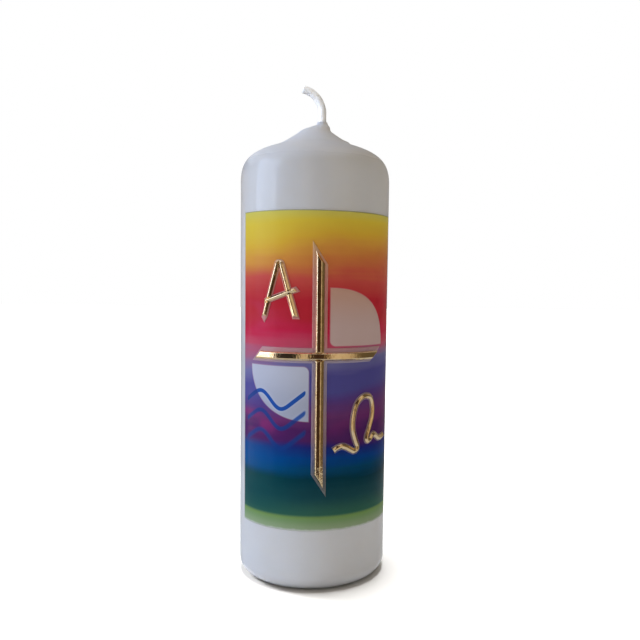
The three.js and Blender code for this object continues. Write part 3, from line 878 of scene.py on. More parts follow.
@dataclass
class WaxBody:
    """The dipped outer wax: a rounded foot, a straight side, a shoulder and a leaning cone.

    Each wave has its size, its number round the candle, its pitch along it and its start. Each
    drip has its angle, its distance from the axis, its height, its width and its length.
    """

    finish: WaxFinish
    foot_fillet: float = 6.7
    coat: float = 2.0
    side_top: float = 184.55
    shoulder_top: float = 201.65
    collar_top: float = 213.65
    cone_foot: float = 19.4
    neck_radius: float = 3.3
    collar_radius: float = 2.4
    bore_radius: float = 1.95
    core_top_radius: float = 7.0
    lean_depth: float = 3.2
    lean_over: float = 0.5
    side_sink: float = 0.06
    dome_sink: float = 0.02
    dome_swell: float = 2.2
    waves: tuple[tuple[float, int, float, float], ...] = (
        (0.022, 2, 23.0, 0.0), (0.014, 5, -9.0, 1.3), (0.010, 9, 5.3, 0.4), (0.010, 3, -3.1, 2.0),
    )
    drips: tuple[tuple[float, float, float, float, float], ...] = (
        (-0.2, 15.4, 0.5, 0.35, 1.0), (2.95, 5.4, 0.7, 0.9, 2.2), (1.6, 9.0, 0.3, 0.4, 1.3),
        (-1.2, 14.5, 0.18, 0.5, 2.0),
    )
    drips_from: Pair = (200.0, 203.0)
    columns: int = 240

    def shoulder(self, radius: float, top: float) -> list[tuple[float, float]]:
        """Control points of the shoulder's curve, from the straight side to the cone's foot."""
        pull = 0.7 * (radius - self.cone_foot)
        return [
            (radius, self.side_top),
            (radius, self.side_top + 0.61 * (top - self.side_top)),
            (self.cone_foot + pull, top - 0.33 * pull),
            (self.cone_foot, top),
        ]

    def outside(self) -> np.ndarray:
        """Half outline of the outer skin, from the edge of the base to the rim of the bore."""
        inner = CANDLE_RADIUS - self.foot_fillet
        handle = 0.25 * (self.cone_foot - self.neck_radius)
        return np.concatenate([
            [(inner, 0.0)],
            quarter((inner, self.foot_fillet), self.foot_fillet, 16),
            straight((CANDLE_RADIUS, self.foot_fillet), (CANDLE_RADIUS, self.side_top), 60),
            bezier(self.shoulder(CANDLE_RADIUS, self.shoulder_top), 28),
            bezier([
                (self.cone_foot, self.shoulder_top),
                (self.cone_foot - handle, self.shoulder_top + 0.33 * handle),
                (self.neck_radius + handle, NECK_TOP - 0.73 * handle),
                (self.neck_radius, NECK_TOP),
            ], 34),
            bezier([
                (self.neck_radius, NECK_TOP),
                (self.collar_radius + 0.3, NECK_TOP + 0.4),
                (self.collar_radius, NECK_TOP + 0.8),
                (self.collar_radius - 0.02, self.collar_top - 0.15),
            ], 10),
            straight((self.collar_radius - 0.1, self.collar_top),
                     (self.bore_radius, self.collar_top), 2),
        ])

    def inside(self) -> np.ndarray:
        """Half outline of the inner skin: down the bore, then out and down round the core."""
        radius = CANDLE_RADIUS - self.coat
        fillet = self.foot_fillet - self.coat
        top = self.shoulder_top - self.coat
        slope = 0.8 * (NECK_TOP - self.shoulder_top) / (self.cone_foot - self.neck_radius)
        cap = top + slope * (self.cone_foot - self.core_top_radius)
        return np.concatenate([
            straight((self.bore_radius, self.collar_top), (self.bore_radius, cap), 10),
            straight((self.bore_radius, cap), (self.core_top_radius, cap), 2),
            straight((self.core_top_radius, cap), (self.cone_foot, top), 4),
            bezier(self.shoulder(radius, top)[::-1], 14),
            straight((radius, self.side_top), (radius, fillet), 10),
            quarter((radius - fillet, fillet), fillet, 8)[::-1][1:],
        ])

    def relief(self, angle: np.ndarray, radius: np.ndarray, height: np.ndarray) -> np.ndarray:
        """How far the outer skin stands off its outline: a sum of sines of the angle and the
        height everywhere, larger on the shoulder, and on the cone the set drips, each a bell
        curve in angle and in radius.

        Args:
            angle: angle round the candle from +X.
            radius: distance from the axis.
            height: height above the base.

        Returns:
            Distances outwards.
        """
        waves = sum(size * np.sin(count * angle + height / pitch + start)
                    for size, count, pitch, start in self.waves)
        drips = np.zeros_like(waves)
        for at, out, tall, wide, long in self.drips:
            turn = np.angle(np.exp(1j * (angle - at)))
            drips += tall * np.exp(-((turn / wide) ** 2) - ((radius - out) / long) ** 2)
        on_side, on_dome = waves - self.side_sink, self.dome_swell * waves - self.dome_sink
        share = smooth_step(height, self.side_top, self.shoulder_top)
        drips = drips * smooth_step(height, *self.drips_from)
        return on_side * (1.0 - share) + on_dome * share + drips

    def skin(self) -> Skin:
        """The closed skin: its outlines turned about Z, with relief on the outside, and the
        neck and the bore moved along +X as the wick leans."""
        outer, inner = self.outside(), self.inside()
        outline = np.concatenate([outer, inner])
        rows = len(outline)
        angle = np.linspace(0.0, 2.0 * math.pi, self.columns, endpoint=False)[None, :]
        radius, height = outline[:, :1], outline[:, 1:]
        is_outer = (np.arange(rows) < len(outer) - 3)[:, None]
        along = np.gradient(outline, axis=0)
        along /= np.maximum(np.linalg.norm(along, axis=1, keepdims=True), 1e-9)
        fade = smooth_step(height, 0.0, 2.0) * is_outer
        lift = self.relief(*np.broadcast_arrays(angle, radius, height)) * fade
        out, up = along[:, 1:], -along[:, :1]
        place = radius + lift * out
        tall = height + lift * up
        lean_out = smooth_step(tall, NECK_TOP - self.lean_depth, NECK_TOP + self.lean_over)
        lean_in = smooth_step(tall, LEAN_FROM, NECK_TOP) * (radius < self.collar_radius)
        shift = WICK_LEAN * np.where(is_outer, lean_out, lean_in)
        points = np.stack([place * np.cos(angle) + shift, place * np.sin(angle), tall], axis=-1)
        layout = np.stack(np.broadcast_arrays(angle * CANDLE_RADIUS, tall), axis=-1)
        quads = grid_quads(rows, self.columns, ring=True, loop=True)
        return Skin(points.reshape(-1, 3), quads, [], layout.reshape(-1, 2))

    def build(self) -> None:
        """Makes the outer wax."""
        make_piece("wax_skin", self.skin(), self.finish.material(), "wax_coat")


@dataclass
class Wick:
    """One braided wick from the base to its bent tip."""

    finish: WickFinish
    radius: float = 1.85
    bend_start: float = 217.65
    bend_radius: float = 11.0
    bend: float = math.radians(82.0)
    around: int = 72
    strands: int = 4
    plait: float = 1.7
    groove: float = 0.1
    proud: float = 0.04
    shown_from: float = 208.0
    hidden_rings: int = 28
    ring_step: float = 0.16
    tip_length: float = 0.5
    tip_taper: float = 0.16

    def stations(self) -> np.ndarray:
        """Lengths along the wick: wide apart inside the wax, close together outside it."""
        end = self.bend_start + self.bend_radius * self.bend
        hidden = np.linspace(0.0, self.shown_from, self.hidden_rings)[:-1]
        return np.concatenate([hidden, np.arange(self.shown_from, end, self.ring_step), [end]])

    def skin(self) -> tuple[Skin, np.ndarray]:
        """Rings round the centre line. Two sets of strands wind round it in opposite turns and
        take turns on top: the radius falls by the groove's depth between the strands.

        Returns:
            The surface, and the depth of the grooves at each point.
        """
        along = self.stations()[:, None]
        turn = np.linspace(0.0, 2.0 * math.pi, self.around, endpoint=False)[None, :]
        height = np.minimum(along, self.bend_start)
        angle = np.maximum(0.0, along - self.bend_start) / self.bend_radius
        x = WICK_LEAN * smooth_step(height, LEAN_FROM, NECK_TOP)
        x = x - self.bend_radius * (1.0 - np.cos(angle))
        z = height + self.bend_radius * np.sin(angle)
        half = self.strands / 2.0
        first = np.abs(np.cos(half * turn + along / self.plait))
        second = np.abs(np.cos(half * turn - along / self.plait))
        crossing = np.sin(self.strands * turn) * np.sin(2.0 * along / self.plait)
        over = 0.5 + 0.5 * np.tanh(3.0 * crossing)
        depth = 1.0 - (over * first + (1.0 - over) * second)
        tip = smooth_step(along, along[-1] - self.tip_length, along[-1])
        radius = (self.radius + self.proud - self.groove * depth) * (1.0 - self.tip_taper * tip)
        out_x, out_z = np.cos(angle), np.sin(angle)
        points = np.stack([
            x + radius * np.cos(turn) * out_x,
            -radius * np.sin(turn),
            z + radius * np.cos(turn) * out_z,
        ], axis=-1)
        rows = len(along)
        points = points[:, ::-1]
        depth = depth[:, ::-1]
        layout = np.stack(np.broadcast_arrays(turn * self.radius, along), axis=-1)
        last = (rows - 1) * self.around
        ends = [list(range(self.around))[::-1], list(range(last, last + self.around))]
        quads = grid_quads(rows, self.around, ring=True)
        return Skin(points.reshape(-1, 3), quads, ends, layout.reshape(-1, 2)), depth.ravel()

    def build(self) -> bpy.types.Object:
        """Makes the wick."""
        skin, depth = self.skin()
        cotton = self.finish.material()
        return make_piece("braided_wick", skin, cotton, "wick", depth)


# Film


@dataclass
class Film:
    """The thin printed film round the front of the candle."""

    finish: FilmFinish
    thickness: float = 0.25
    ripple: float = 0.012
    step: float = 0.7

    def skin(self) -> Skin:
        """A closed sheet: a front grid and a back grid joined along their edges, the front
        with a slow ripple of about a hundredth of a millimetre."""
        columns = int((FILM_RIGHT - FILM_LEFT) / self.step)
        rows = int((FILM_TOP - FILM_FOOT) / self.step)
        across, height = np.meshgrid(
            np.linspace(FILM_LEFT, FILM_RIGHT, columns),
            np.linspace(FILM_FOOT, FILM_TOP, rows),
        )
        ripple = self.ripple * np.sin(across / 7.3 + height / 19.0) * np.sin(height / 11.0)
        return laid(np.stack([across, height], axis=-1), FILM_LEVEL, self.thickness + ripple)

    def build(self) -> None:
        """Makes the film."""
        make_piece("film_sheet", self.skin(), self.finish.material(), "printed_film")


def closed_sheet(front: np.ndarray, back: np.ndarray, layout: np.ndarray) -> Skin:
    """Joins two equal grids of points into a closed sheet.

    Args:
        front: the grid that faces outwards.
        back: the grid behind it.
        layout: the layout place of each grid point.

    Returns:
        The sheet's surface.
    """
    rows, columns = front.shape[:2]
    count = rows * columns
    face = grid_quads(rows, columns)
    number = np.arange(count).reshape(rows, columns)
    border = np.concatenate([number[0, :-1], number[:-1, -1], number[-1, :0:-1], number[:0:-1, 0]])
    after = np.roll(border, -1)
    walls = np.stack([border, border + count, after + count, after], axis=1)
    return Skin(
        np.concatenate([front.reshape(-1, 3), back.reshape(-1, 3)]),
        np.concatenate([face, face[:, ::-1] + count, walls]),
        [],
        np.concatenate([layout.reshape(-1, 2)] * 2),
    )


def laid(flat: np.ndarray, level: float, top: np.ndarray) -> Skin:
    """A sheet bent round the candle.

    Args:
        flat: a grid of layout places.
        level: height of its underside above the wax.
        top: its thickness at each place.

    Returns:
        The closed sheet.
    """
    across, height = flat[..., 0], flat[..., 1]
    back = wrap(across, height, np.full(top.shape, level))
    return closed_sheet(wrap(across, height, level + top), back, flat)


# Ornaments


@dataclass(frozen=True)
class Relief:
    """The section of a strip: its height, the lip at its outline, its bevel's width, the depth
    of its press marks, how many times wider its right bevel is, and how soft its edges are."""

    height: float
    lip: float
    bevel: float
    marks: float = 0.0
    right_share: float = 1.0
    softness: float = 0.08

    def top(self, inward: np.ndarray, flat: np.ndarray, seeds: Pair) -> np.ndarray:
        """The strip's thickness: it rises evenly from the lip up the bevel, runs softly into
        the flat crown, and is dented by large and small press marks.

        Args:
            inward: distance of each place from the outline.
            flat: the layout places.
            seeds: pick the large and the small marks.

        Returns:
            The thickness at each place.
        """
        rise = self.lip + (self.height - self.lip) * inward / self.bevel
        top = soft_least(rise, np.full(rise.shape, self.height), self.softness)
        top = np.maximum(top, 0.4 * self.lip)
        if self.marks:
            large = dents(flat[..., 0], flat[..., 1], 0.9, seeds[0])
            small = dents(flat[..., 0], flat[..., 1], 0.5, seeds[1])
            top = top - self.marks * (large + 0.5 * small) * smooth_step(inward, 0.05, 0.3)
        return top


@dataclass
class Plate:
    """A strip on the candle, given by its section and by its two long edges as polylines from
    foot to head."""

    left: list[tuple[float, float]]
    right: list[tuple[float, float]]
    form: Relief
    step: float = 0.2
    pressed: float = 0.12
    pressed_margin: float = 0.06

    def inward(self, points: np.ndarray) -> np.ndarray:
        """Distance from each point to the nearest side of the outline, which is convex: the
        least of the distances to the lines through its sides, those to the right edge over
        the section's right_share, below zero outside."""
        outline = np.array(self.left + self.right[::-1], float)
        sides = np.roll(outline, -1, axis=0) - outline
        lengths = np.linalg.norm(sides, axis=1)
        lengths[len(self.left):-1] *= self.form.right_share
        normals = np.stack([sides[:, 1], -sides[:, 0]], axis=1) / lengths[:, None]
        return ((points[..., None, :] - outline) * normals).sum(-1).min(-1)

    def skin(self, level: float, over: "Plate | None" = None) -> Skin:
        """The strip bent round the candle.

        Args:
            level: height of its underside above the wax.
            over: a strip that lies across it, under which it is pressed flat.

        Returns:
            The strip's surface.
        """
        first, last = np.array(self.left, float), np.array(self.right, float)
        length = np.linalg.norm(np.diff(first, axis=0), axis=1).sum()
        width = np.linalg.norm(last[1] - first[1])
        rows = max(8, int(length / self.step))
        columns = max(14, int(width / (0.4 * self.step)))
        along = np.linspace(0.0, 1.0, rows)
        even = np.linspace(0.0, 1.0, columns)
        across = (0.65 * even + 0.175 * (1.0 - np.cos(math.pi * even)))[None, :, None]
        start, end = (places_along(side, along)[:, None, :] for side in (self.left, self.right))
        flat = start * (1.0 - across) + end * across
        inward = np.maximum(self.inward(flat), 0.0)
        top = self.form.top(inward, flat, (2.0, 7.0))
        if over:
            below = over.inward(flat) > -self.pressed_margin
            top = np.where(below, np.minimum(top, self.pressed), top)
        return laid(flat, level, top)


@dataclass
class Cross:
    """The gold cross: an upright and a bar laid over it, on a pale rim."""

    gold: bpy.types.Material
    rim: bpy.types.Material
    width: float = 3.7
    upright_strip: Relief = Relief(1.1, 0.15, 0.6, 0.018, 2.3)
    bar_strip: Relief = Relief(1.1, 0.15, 0.6, 0.008, 1.5)
    top: float = 149.15
    foot: float = 50.8
    upright_cut: float = 1.56
    bar_left: float = -29.5
    bar_right: float = 28.0
    bar_left_cut: float = 0.97
    bar_right_cut: float = 1.2
    side_rim: float = 1.45
    upright_end_rim: float = 1.9
    bar_end_rim: float = 0.9
    bar_rim_lift: float = 0.4
    rim_strips: tuple[Relief, Relief] = (Relief(0.3, 0.1, 0.3), Relief(0.31, 0.1, 0.3))

    def upright(self, rim: float, end_rim: float, form: Relief) -> Plate:
        """The upright's plate. Its ends are cut on a slant, higher on the left."""
        half = self.width / 2 + rim
        slant = half * self.upright_cut
        top, foot = self.top + end_rim, self.foot - end_rim
        left, right = CROSS_MIDDLE - half, CROSS_MIDDLE + half
        return Plate([(left, foot + slant), (left, top + slant)],
                     [(right, foot - slant), (right, top - slant)], form)

    def bar(self, rim: float, end_rim: float, lift: float, form: Relief) -> Plate:
        """The bar's plate, from its left end to its right end, cut on a slant at both."""
        half = self.width / 2 + rim
        left, right = self.bar_left - end_rim, self.bar_right + end_rim
        low, high = BAR_HEIGHT + lift - half, BAR_HEIGHT + lift + half
        to_left, to_right = half * self.bar_left_cut, half * self.bar_right_cut
        return Plate([(left + to_left, high), (right + to_right, high)],
                     [(left - to_left, low), (right - to_right, low)], form)

    def build(self) -> None:
        """Makes the rim, the upright and the bar. The tops of the rim's two arms stand a
        hundredth of a millimetre apart, so that they don't coincide."""
        bar = self.bar(0.0, 0.0, 0.0, self.bar_strip)
        upright = self.upright(0.0, 0.0, self.upright_strip).skin(GOLD_LEVEL, bar)
        low, high = self.rim_strips
        post = self.upright(self.side_rim, self.upright_end_rim, low)
        arms = self.bar(self.side_rim, self.bar_end_rim, self.bar_rim_lift, high)
        rim = post.skin(BACKING_LEVEL).and_also(arms.skin(BACKING_LEVEL))
        make_piece("cross_rim", rim, self.rim, "cross_backing")
        make_piece("cross_upright_foil", upright, self.gold, "cross_upright")
        make_piece("cross_bar_foil", bar.skin(GOLD_LEVEL), self.gold, "cross_bar")


@dataclass
class Alpha:
    """The gold alpha: two legs that meet on a mitre, and a rising bar laid over them."""

    gold: bpy.types.Material
    rim: bpy.types.Material
    offset: float = -18.3
    foot: float = 123.2
    rise: float = 24.3
    width: float = 2.2
    strip: Relief = Relief(0.95, 0.15, 0.88, 0.005)
    leg_slope: float = 0.292
    top_spread: float = 0.96
    shoulder: float = 1.7
    side_rim: float = 0.5
    left_end_rim: float = 0.5
    left_tip: float = 2.4
    right_end_rim: float = 1.1
    bar_width: float = 1.8
    bar_rim: float = 0.45
    bar_level: float = 132.2
    bar_slope: float = 0.35
    bar_left: float = -7.4
    bar_right: float = 7.6
    bar_cut: float = 0.65
    bar_left_end_rim: float = 0.3
    seam: float = 0.05
    blunt_half: float = 0.12
    step: float = 0.15
    rim_bevel: float = 0.25
    rim_heights: tuple[float, float, float] = (0.3, 0.31, 0.32)

    def leg(self, side: float, rim: float, end_rim: float, tip: float, form: Relief) -> Plate:
        """One leg's plate, with its outer shoulder rounded by a curve p(1-t)^2 + 2qt(1-t) +
        rt^2. side is -1 for the left leg, and tip draws its foot out to a blunt point."""
        gap = 0.0 if rim else self.seam
        foot, top = self.foot - end_rim, self.foot + self.rise + rim
        half = (self.width / 2 + rim) * math.hypot(1.0, self.leg_slope)
        apex = self.foot + self.rise + self.top_spread / 2 / self.leg_slope
        mitre = apex - (half + gap) / self.leg_slope

        def centre(height: float) -> float:
            """Distance of the leg's centre line from the alpha's middle at a height."""
            return (apex - height) * self.leg_slope

        low = top - self.shoulder
        t = np.linspace(0.0, 1.0, 9)[:, None]
        corners = [(centre(low) + half, low), (centre(top) + half, top), (gap, top)]
        start, pull, end = np.array(corners)
        arch = start * (1 - t) ** 2 + pull * 2 * t * (1 - t) + end * t**2
        blunt = [(self.blunt_half, foot - tip)] if tip else []
        inner = [(centre(foot) - x, y) for x, y in blunt]
        inner += [(centre(foot) - half, foot), (gap, mitre), (gap, top - 0.35)]
        outer = [(centre(foot) + x, y) for x, y in blunt]
        outer += [(centre(foot) + half, foot), *arch.tolist()]
        inner = [(self.offset + side * x, y) for x, y in inner]
        outer = [(self.offset + side * x, y) for x, y in outer]
        pair = (inner, outer) if side > 0 else (outer, inner)
        return Plate(*pair, form, self.step)

    def bar(self, rim: float, left_end_rim: float, right_end_rim: float, form: Relief) -> Plate:
        """The bar's plate, rising to the right, where its end is cut on a slant."""
        half = (self.bar_width / 2 + rim) * math.hypot(1.0, self.bar_slope)
        cut = half * self.bar_cut
        left, right = self.bar_left - left_end_rim, self.bar_right + right_end_rim

        def place(across: float, up: float) -> tuple[float, float]:
            """The place at a distance across from the middle and up from the centre line."""
            return self.offset + across, self.bar_level + across * self.bar_slope + up

        return Plate([place(left, half), place(right - cut, half)],
                     [place(left, -half), place(right + cut, -half)], form, self.step)

    def build(self) -> None:
        """Makes the rim, the two legs and the bar."""
        low, middle, high = (Relief(height, 0.1, self.rim_bevel) for height in self.rim_heights)
        left = self.leg(-1.0, self.side_rim, self.left_end_rim, self.left_tip, low)
        right = self.leg(1.0, self.side_rim, self.right_end_rim, 0.0, middle)
        arm = self.bar(self.bar_rim, self.bar_left_end_rim, self.right_end_rim, high)
        rim = left.skin(BACKING_LEVEL).and_also(right.skin(BACKING_LEVEL))
        rim = rim.and_also(arm.skin(BACKING_LEVEL))
        make_piece("alpha_rim", rim, self.rim, "alpha_backing")
        bar = self.bar(0.0, 0.0, 0.0, self.strip)
        for side, word in ((-1.0, "left"), (1.0, "right")):
            leg = self.leg(side, 0.0, 0.0, 0.0, self.strip).skin(GOLD_LEVEL, bar)
            make_piece(f"alpha_{word}_foil", leg, self.gold, f"alpha_{word}_leg")
        make_piece("alpha_bar_foil", bar.skin(GOLD_LEVEL), self.gold, "alpha_bar")


@dataclass
class Omega:
    """The gold omega: one bent strip on a pale rim. Its knots are shares of its width, from
    its middle, and of its height."""

    gold: bpy.types.Material
    rim: bpy.types.Material
    middle: float = 21.7
    foot: float = 63.5
    wide: float = 31.3
    tall: float = 24.2
    half: float = 1.1
    strip: Relief = Relief(0.95, 0.15, 0.88, 0.005)
    rim_strip: Relief = Relief(0.3, 0.1, 0.25)
    side_rim: float = 0.5
    stations: int = 480
    columns: int = 25
    tightest: float = 0.7
    knots: tuple[tuple[float, float], ...] = (
        (-0.495, 0.039), (-0.431, 0.087), (-0.367, 0.107), (-0.304, 0.085), (-0.233, 0.033),
        (-0.176, 0.0), (-0.131, 0.021), (-0.118, 0.083), (-0.141, 0.155), (-0.192, 0.376),
        (-0.188, 0.64), (-0.131, 0.872), (-0.04, 0.978), (0.045, 0.998), (0.128, 0.955),
        (0.173, 0.789), (0.163, 0.587), (0.102, 0.382), (0.053, 0.202), (0.07, 0.153),
        (0.125, 0.167), (0.169, 0.227), (0.211, 0.246), (0.265, 0.213), (0.327, 0.163),
        (0.411, 0.151), (0.505, 0.178),
    )

    def line(self) -> np.ndarray:
        """Evenly spaced points of the centre line: a cubic through the knots, whose
        speed between two points follows the square root of their distance."""
        knots = np.array(self.knots) * (self.wide, self.tall) + (self.middle, self.foot)
        knots = np.concatenate([[2 * knots[0] - knots[1]], knots, [2 * knots[-1] - knots[-2]]])
        gap = np.linalg.norm(np.diff(knots, axis=0), axis=1)[:, None] ** 0.5
        a, b, c, d = knots[:-3], knots[1:-2], knots[2:-1], knots[3:]
        before, here, after = gap[:-2], gap[1:-1], gap[2:]
        leave = ((b - a) / before - (c - a) / (before + here) + (c - b) / here) * here
        arrive = ((c - b) / here - (d - b) / (here + after) + (d - c) / after) * here
        t = np.linspace(0.0, 1.0, 40, endpoint=False)[None, :, None]
        b, c, leave, arrive = (part[:, None, :] for part in (b, c, leave, arrive))
        square = 3 * (c - b) - 2 * leave - arrive
        dense = b + leave * t + square * t**2 + (2 * (b - c) + leave + arrive) * t**3
        dense = np.concatenate([dense.reshape(-1, 2), knots[-2:-1]])
        return places_along(dense, np.linspace(0.0, 1.0, self.stations))

    def skin(self, half: float, form: Relief, level: float) -> Skin:
        """A strip carried along the line and bent round the candle. Inside a bend it is drawn
        in to a share of the bend's radius, and its height falls off at its ends.

        Args:
            half: half its width.
            form: its section.
            level: height of its underside above the wax.

        Returns:
            The strip's surface.
        """
        line = self.line()
        pace = np.gradient(line, axis=0)
        step = np.linalg.norm(pace, axis=1, keepdims=True)
        pace = pace / step
        kernel = np.hanning(9) / np.hanning(9).sum()
        turn = np.gradient(np.unwrap(np.arctan2(pace[:, 1], pace[:, 0]))) / step[:, 0]
        turn = np.convolve(np.pad(turn, 4, mode="edge"), kernel, mode="valid")
        bend = 1.0 / np.maximum(np.abs(turn), 1e-4)
        side = np.linspace(half, -half, self.columns)[None, :]
        inner = np.sign(side) == np.sign(turn)[:, None]
        drawn_in = soft_least(np.abs(side), bend[:, None] * self.tightest, 0.12)
        reach = np.sign(side) * np.where(inner, drawn_in, np.abs(side))
        left_of = np.stack([-pace[:, 1], pace[:, 0]], axis=1)
        flat = line[:, None, :] + left_of[:, None, :] * reach[..., None]
        number = np.arange(self.stations)
        from_end = np.minimum(number, number[::-1])[:, None] * step
        inward = np.minimum(half - np.abs(side), from_end)
        return laid(flat, level, form.top(inward, flat, (4.0, 1.0)))

    def build(self) -> None:
        """Makes the rim and the strip."""
        rim = self.skin(self.half + self.side_rim, self.rim_strip, BACKING_LEVEL)
        make_piece("omega_rim", rim, self.rim, "omega_backing")
        strip = self.skin(self.half, self.strip, GOLD_LEVEL)
        make_piece("omega_foil", strip, self.gold, "omega_strip")


# Studio


@dataclass(frozen=True)
class Lamp:
    """A far soft lamp: how far it stands from straight above, the side on which it stands, from
    -Y towards +X, and the angle that it fills, in degrees, and its irradiance."""

    tilt: float
    azimuth: float
    spread: float
    strength: float


@dataclass
class Studio:
    """A white floor, daylight from a window on the left, cards round the candle and soft lamps
    that light only the floor and only the wick. Its lengths are in metres."""

    floor_size: float = 8.0
    floor_seen: float = 0.80
    bounce_near: Colour = (0.315, 0.331, 0.37)
    bounce_far: Colour = (0.20, 0.195, 0.19)
    bounce_fall: Pair = (0.45, 0.15)
    ambient: Colour = (0.380, 0.342, 0.286)
    window_tint: Colour = (0.73, 0.95, 1.38)
    window_power: float = 2.25
    window_width: float = 0.50
    window_height: float = 0.60
    window_distance: float = 0.62
    window_azimuth: float = -82.0
    window_rise: float = 0.35
    window_aim: float = 0.11
    mat_glow: Colour = (0.52, 0.53, 0.53)
    lid_glow: Colour = (0.88, 0.89, 0.94)
    brow_glow: Colour = (0.95, 1.0, 1.1)
    card_radius: float = 0.21
    card_height: float = 0.50
    brow_foot: float = 0.336
    card_columns: int = 61
    front_sweep: Pair = (-60.0, 176.0)
    left_sweep: Pair = (-116.0, -184.0)
    left_levels: tuple[float, ...] = (0.0, 0.115, 0.235, 0.27)
    brow_sweep: Pair = (-60.0, -116.0)
    flag_sweep: Pair = (-104.0, -178.0)
    mat_inner: float = 0.037
    mat_height: float = 0.0004
    flag_colour: Colour = (0.05, 0.055, 0.06)
    front_stops: Stops = (
        (0.0, (0.16, 0.14, 0.13)), (0.04, (0.03, 0.025, 0.025)), (0.14, (0.03, 0.025, 0.02)),
        (0.165, (0.62, 0.53, 0.40)), (0.205, (0.50, 0.42, 0.30)), (0.22, (0.045, 0.024, 0.014)),
        (0.295, (0.045, 0.024, 0.014)), (0.325, (0.34, 0.25, 0.15)), (0.35, (0.62, 0.52, 0.38)),
        (0.45, (0.50, 0.41, 0.28)), (0.51, (0.12, 0.09, 0.05)), (0.62, (0.10, 0.08, 0.05)),
        (0.78, (0.34, 0.29, 0.23)), (1.0, (0.24, 0.26, 0.32)),
    )
    dim_stops: Stops = ((0.0, (0.30, 0.26, 0.21)), (1.0, (0.18, 0.16, 0.14)))
    warm_stops: Stops = (
        (0.0, (0.42, 0.34, 0.24)), (0.25, (0.62, 0.48, 0.32)), (0.7, (0.30, 0.26, 0.21)),
    )
    floor_light: Lamp = Lamp(1.9, -178.0, 14.0, 4.2)
    floor_fill: Lamp = Lamp(60.0, -124.0, 20.0, 4.0)
    wick_light: Lamp = Lamp(55.0, -60.0, 70.0, 2.0)

    def floor(self) -> bpy.types.Object:
        """A pale floor that keeps the candle's shadow. The light that it throws back on the
        candle is less than what the camera and reflections see, and falls off further out."""
        half = self.floor_size / 2
        mesh = bpy.data.meshes.new("floor")
        corners = [(-half, -half, 0), (half, -half, 0), (half, half, 0), (-half, half, 0)]
        mesh.from_pydata(corners, [], [(0, 1, 2, 3)])
        material, desk, shader = new_material("floor")
        x, y, _ = desk.split(desk.coordinates("Object"))
        near = ((x * x + y * y) ** 0.5).step(*self.bounce_fall)
        bounce = desk.blend(near, self.bounce_far, self.bounce_near)
        desk.feed(shader, {
            "Base Color": desk.blend(desk.seen(), bounce, (self.floor_seen,) * 3),
            "Roughness": 1.0,
            "Specular IOR Level": 0.0,
        })
        mesh.materials.append(material)
        return self.place("floor", mesh)

    def reflector(self, name: str, turn: np.ndarray, radius: Any, height: Any,
                  stops: Stops) -> bpy.types.Object:
        """A glowing surface that only reflections see. Its points stand at the given azimuths,
        distances from the axis and heights, which together make a grid.

        Args:
            name: its name.
            turn: azimuths from -Y towards +X, in degrees, one for each column.
            radius: distances from the axis, or one distance.
            height: heights, or one height.
            stops: its colours, at shares of the way from the first column to the last.

        Returns:
            The surface's object.
        """
        points = around(np.radians(turn)[None, :], radius, height)
        rows, columns = points.shape[:2]
        mesh = bpy.data.meshes.new(name)
        mesh.from_pydata(points.reshape(-1, 3).tolist(), [], grid_quads(rows, columns).tolist())
        share = np.tile(np.linspace(0.0, 1.0, columns), rows)
        set_layout(mesh, np.stack([share, 0.0 * share], axis=1))
        mesh.materials.append(self.glow(name, stops))
        card = self.place(name, mesh)
        card.visible_camera = card.visible_diffuse = False
        card.visible_shadow = card.visible_transmission = False
        return card

    def card(self, name: str, sweep: Pair, span: Pair, stops: Stops) -> bpy.types.Object:
        """An upright card curved round the candle.

        Args:
            name: its name.
            sweep: azimuths of its first and its last edge.
            span: heights of its lower and its upper edge.
            stops: its colours, from the first edge to the last.

        Returns:
            The card.
        """
        turn = np.linspace(*sweep, self.card_columns)
        return self.reflector(name, turn, self.card_radius, np.array(span)[:, None], stops)

    def disc(self, name: str, inner: float, height: float, glow: Colour) -> None:
        """A flat ring round the candle's axis, as wide as the cards.

        Args:
            name: its name.
            inner: its inner radius.
            height: its height above the floor.
            glow: its colour.
        """
        turn = np.linspace(-180.0, 180.0, self.card_columns)
        radius = np.array([inner, self.card_radius])[:, None]
        self.reflector(name, turn, radius, height, ((0.0, glow),))

    def cards(self) -> None:
        """What the gold and the wax reflect: a card in front and to the right, with dark and
        bright bands for the gold's faces, one behind to the left with a warm middle, the gap
        between them left for the window, a brow over the window, a lid on top and a mat on the
        floor. A flag keeps soft light from the far left."""
        whole, brow = (0.0, self.card_height), (self.brow_foot, self.card_height)
        self.card("front_card", self.front_sweep, whole, self.front_stops)
        for part, stops in enumerate((self.dim_stops, self.warm_stops, self.dim_stops)):
            span = self.left_levels[part:part + 2]
            self.card(f"left_card_{part}", self.left_sweep, span, stops)
        self.card("brow", self.brow_sweep, brow, ((0.0, self.brow_glow),))
        flag = self.card("flag", self.flag_sweep, whole, ((0.0, self.flag_colour),))
        flag.visible_glossy, flag.visible_diffuse = False, True
        self.disc("lid", 0.0, self.card_height, self.lid_glow)
        self.disc("mat", self.mat_inner, self.mat_height, self.mat_glow)

    @staticmethod
    def glow(name: str, stops: Stops) -> bpy.types.Material:
        """A plain glow whose colour follows the first coordinate of the mesh's map."""
        material = bpy.data.materials.new(name)
        material.use_nodes = True
        material.node_tree.nodes.clear()
        desk = Desk(material.node_tree)
        ramp = desk.add("ShaderNodeValToRGB", {"stops": stops}, {0: desk.layout()[0]})
        light = desk.add("ShaderNodeEmission", {}, {"Color": ramp.outputs[0], "Strength": 1.0})
        desk.add("ShaderNodeOutputMaterial", {}, {"Surface": light.outputs[0]})
        return material

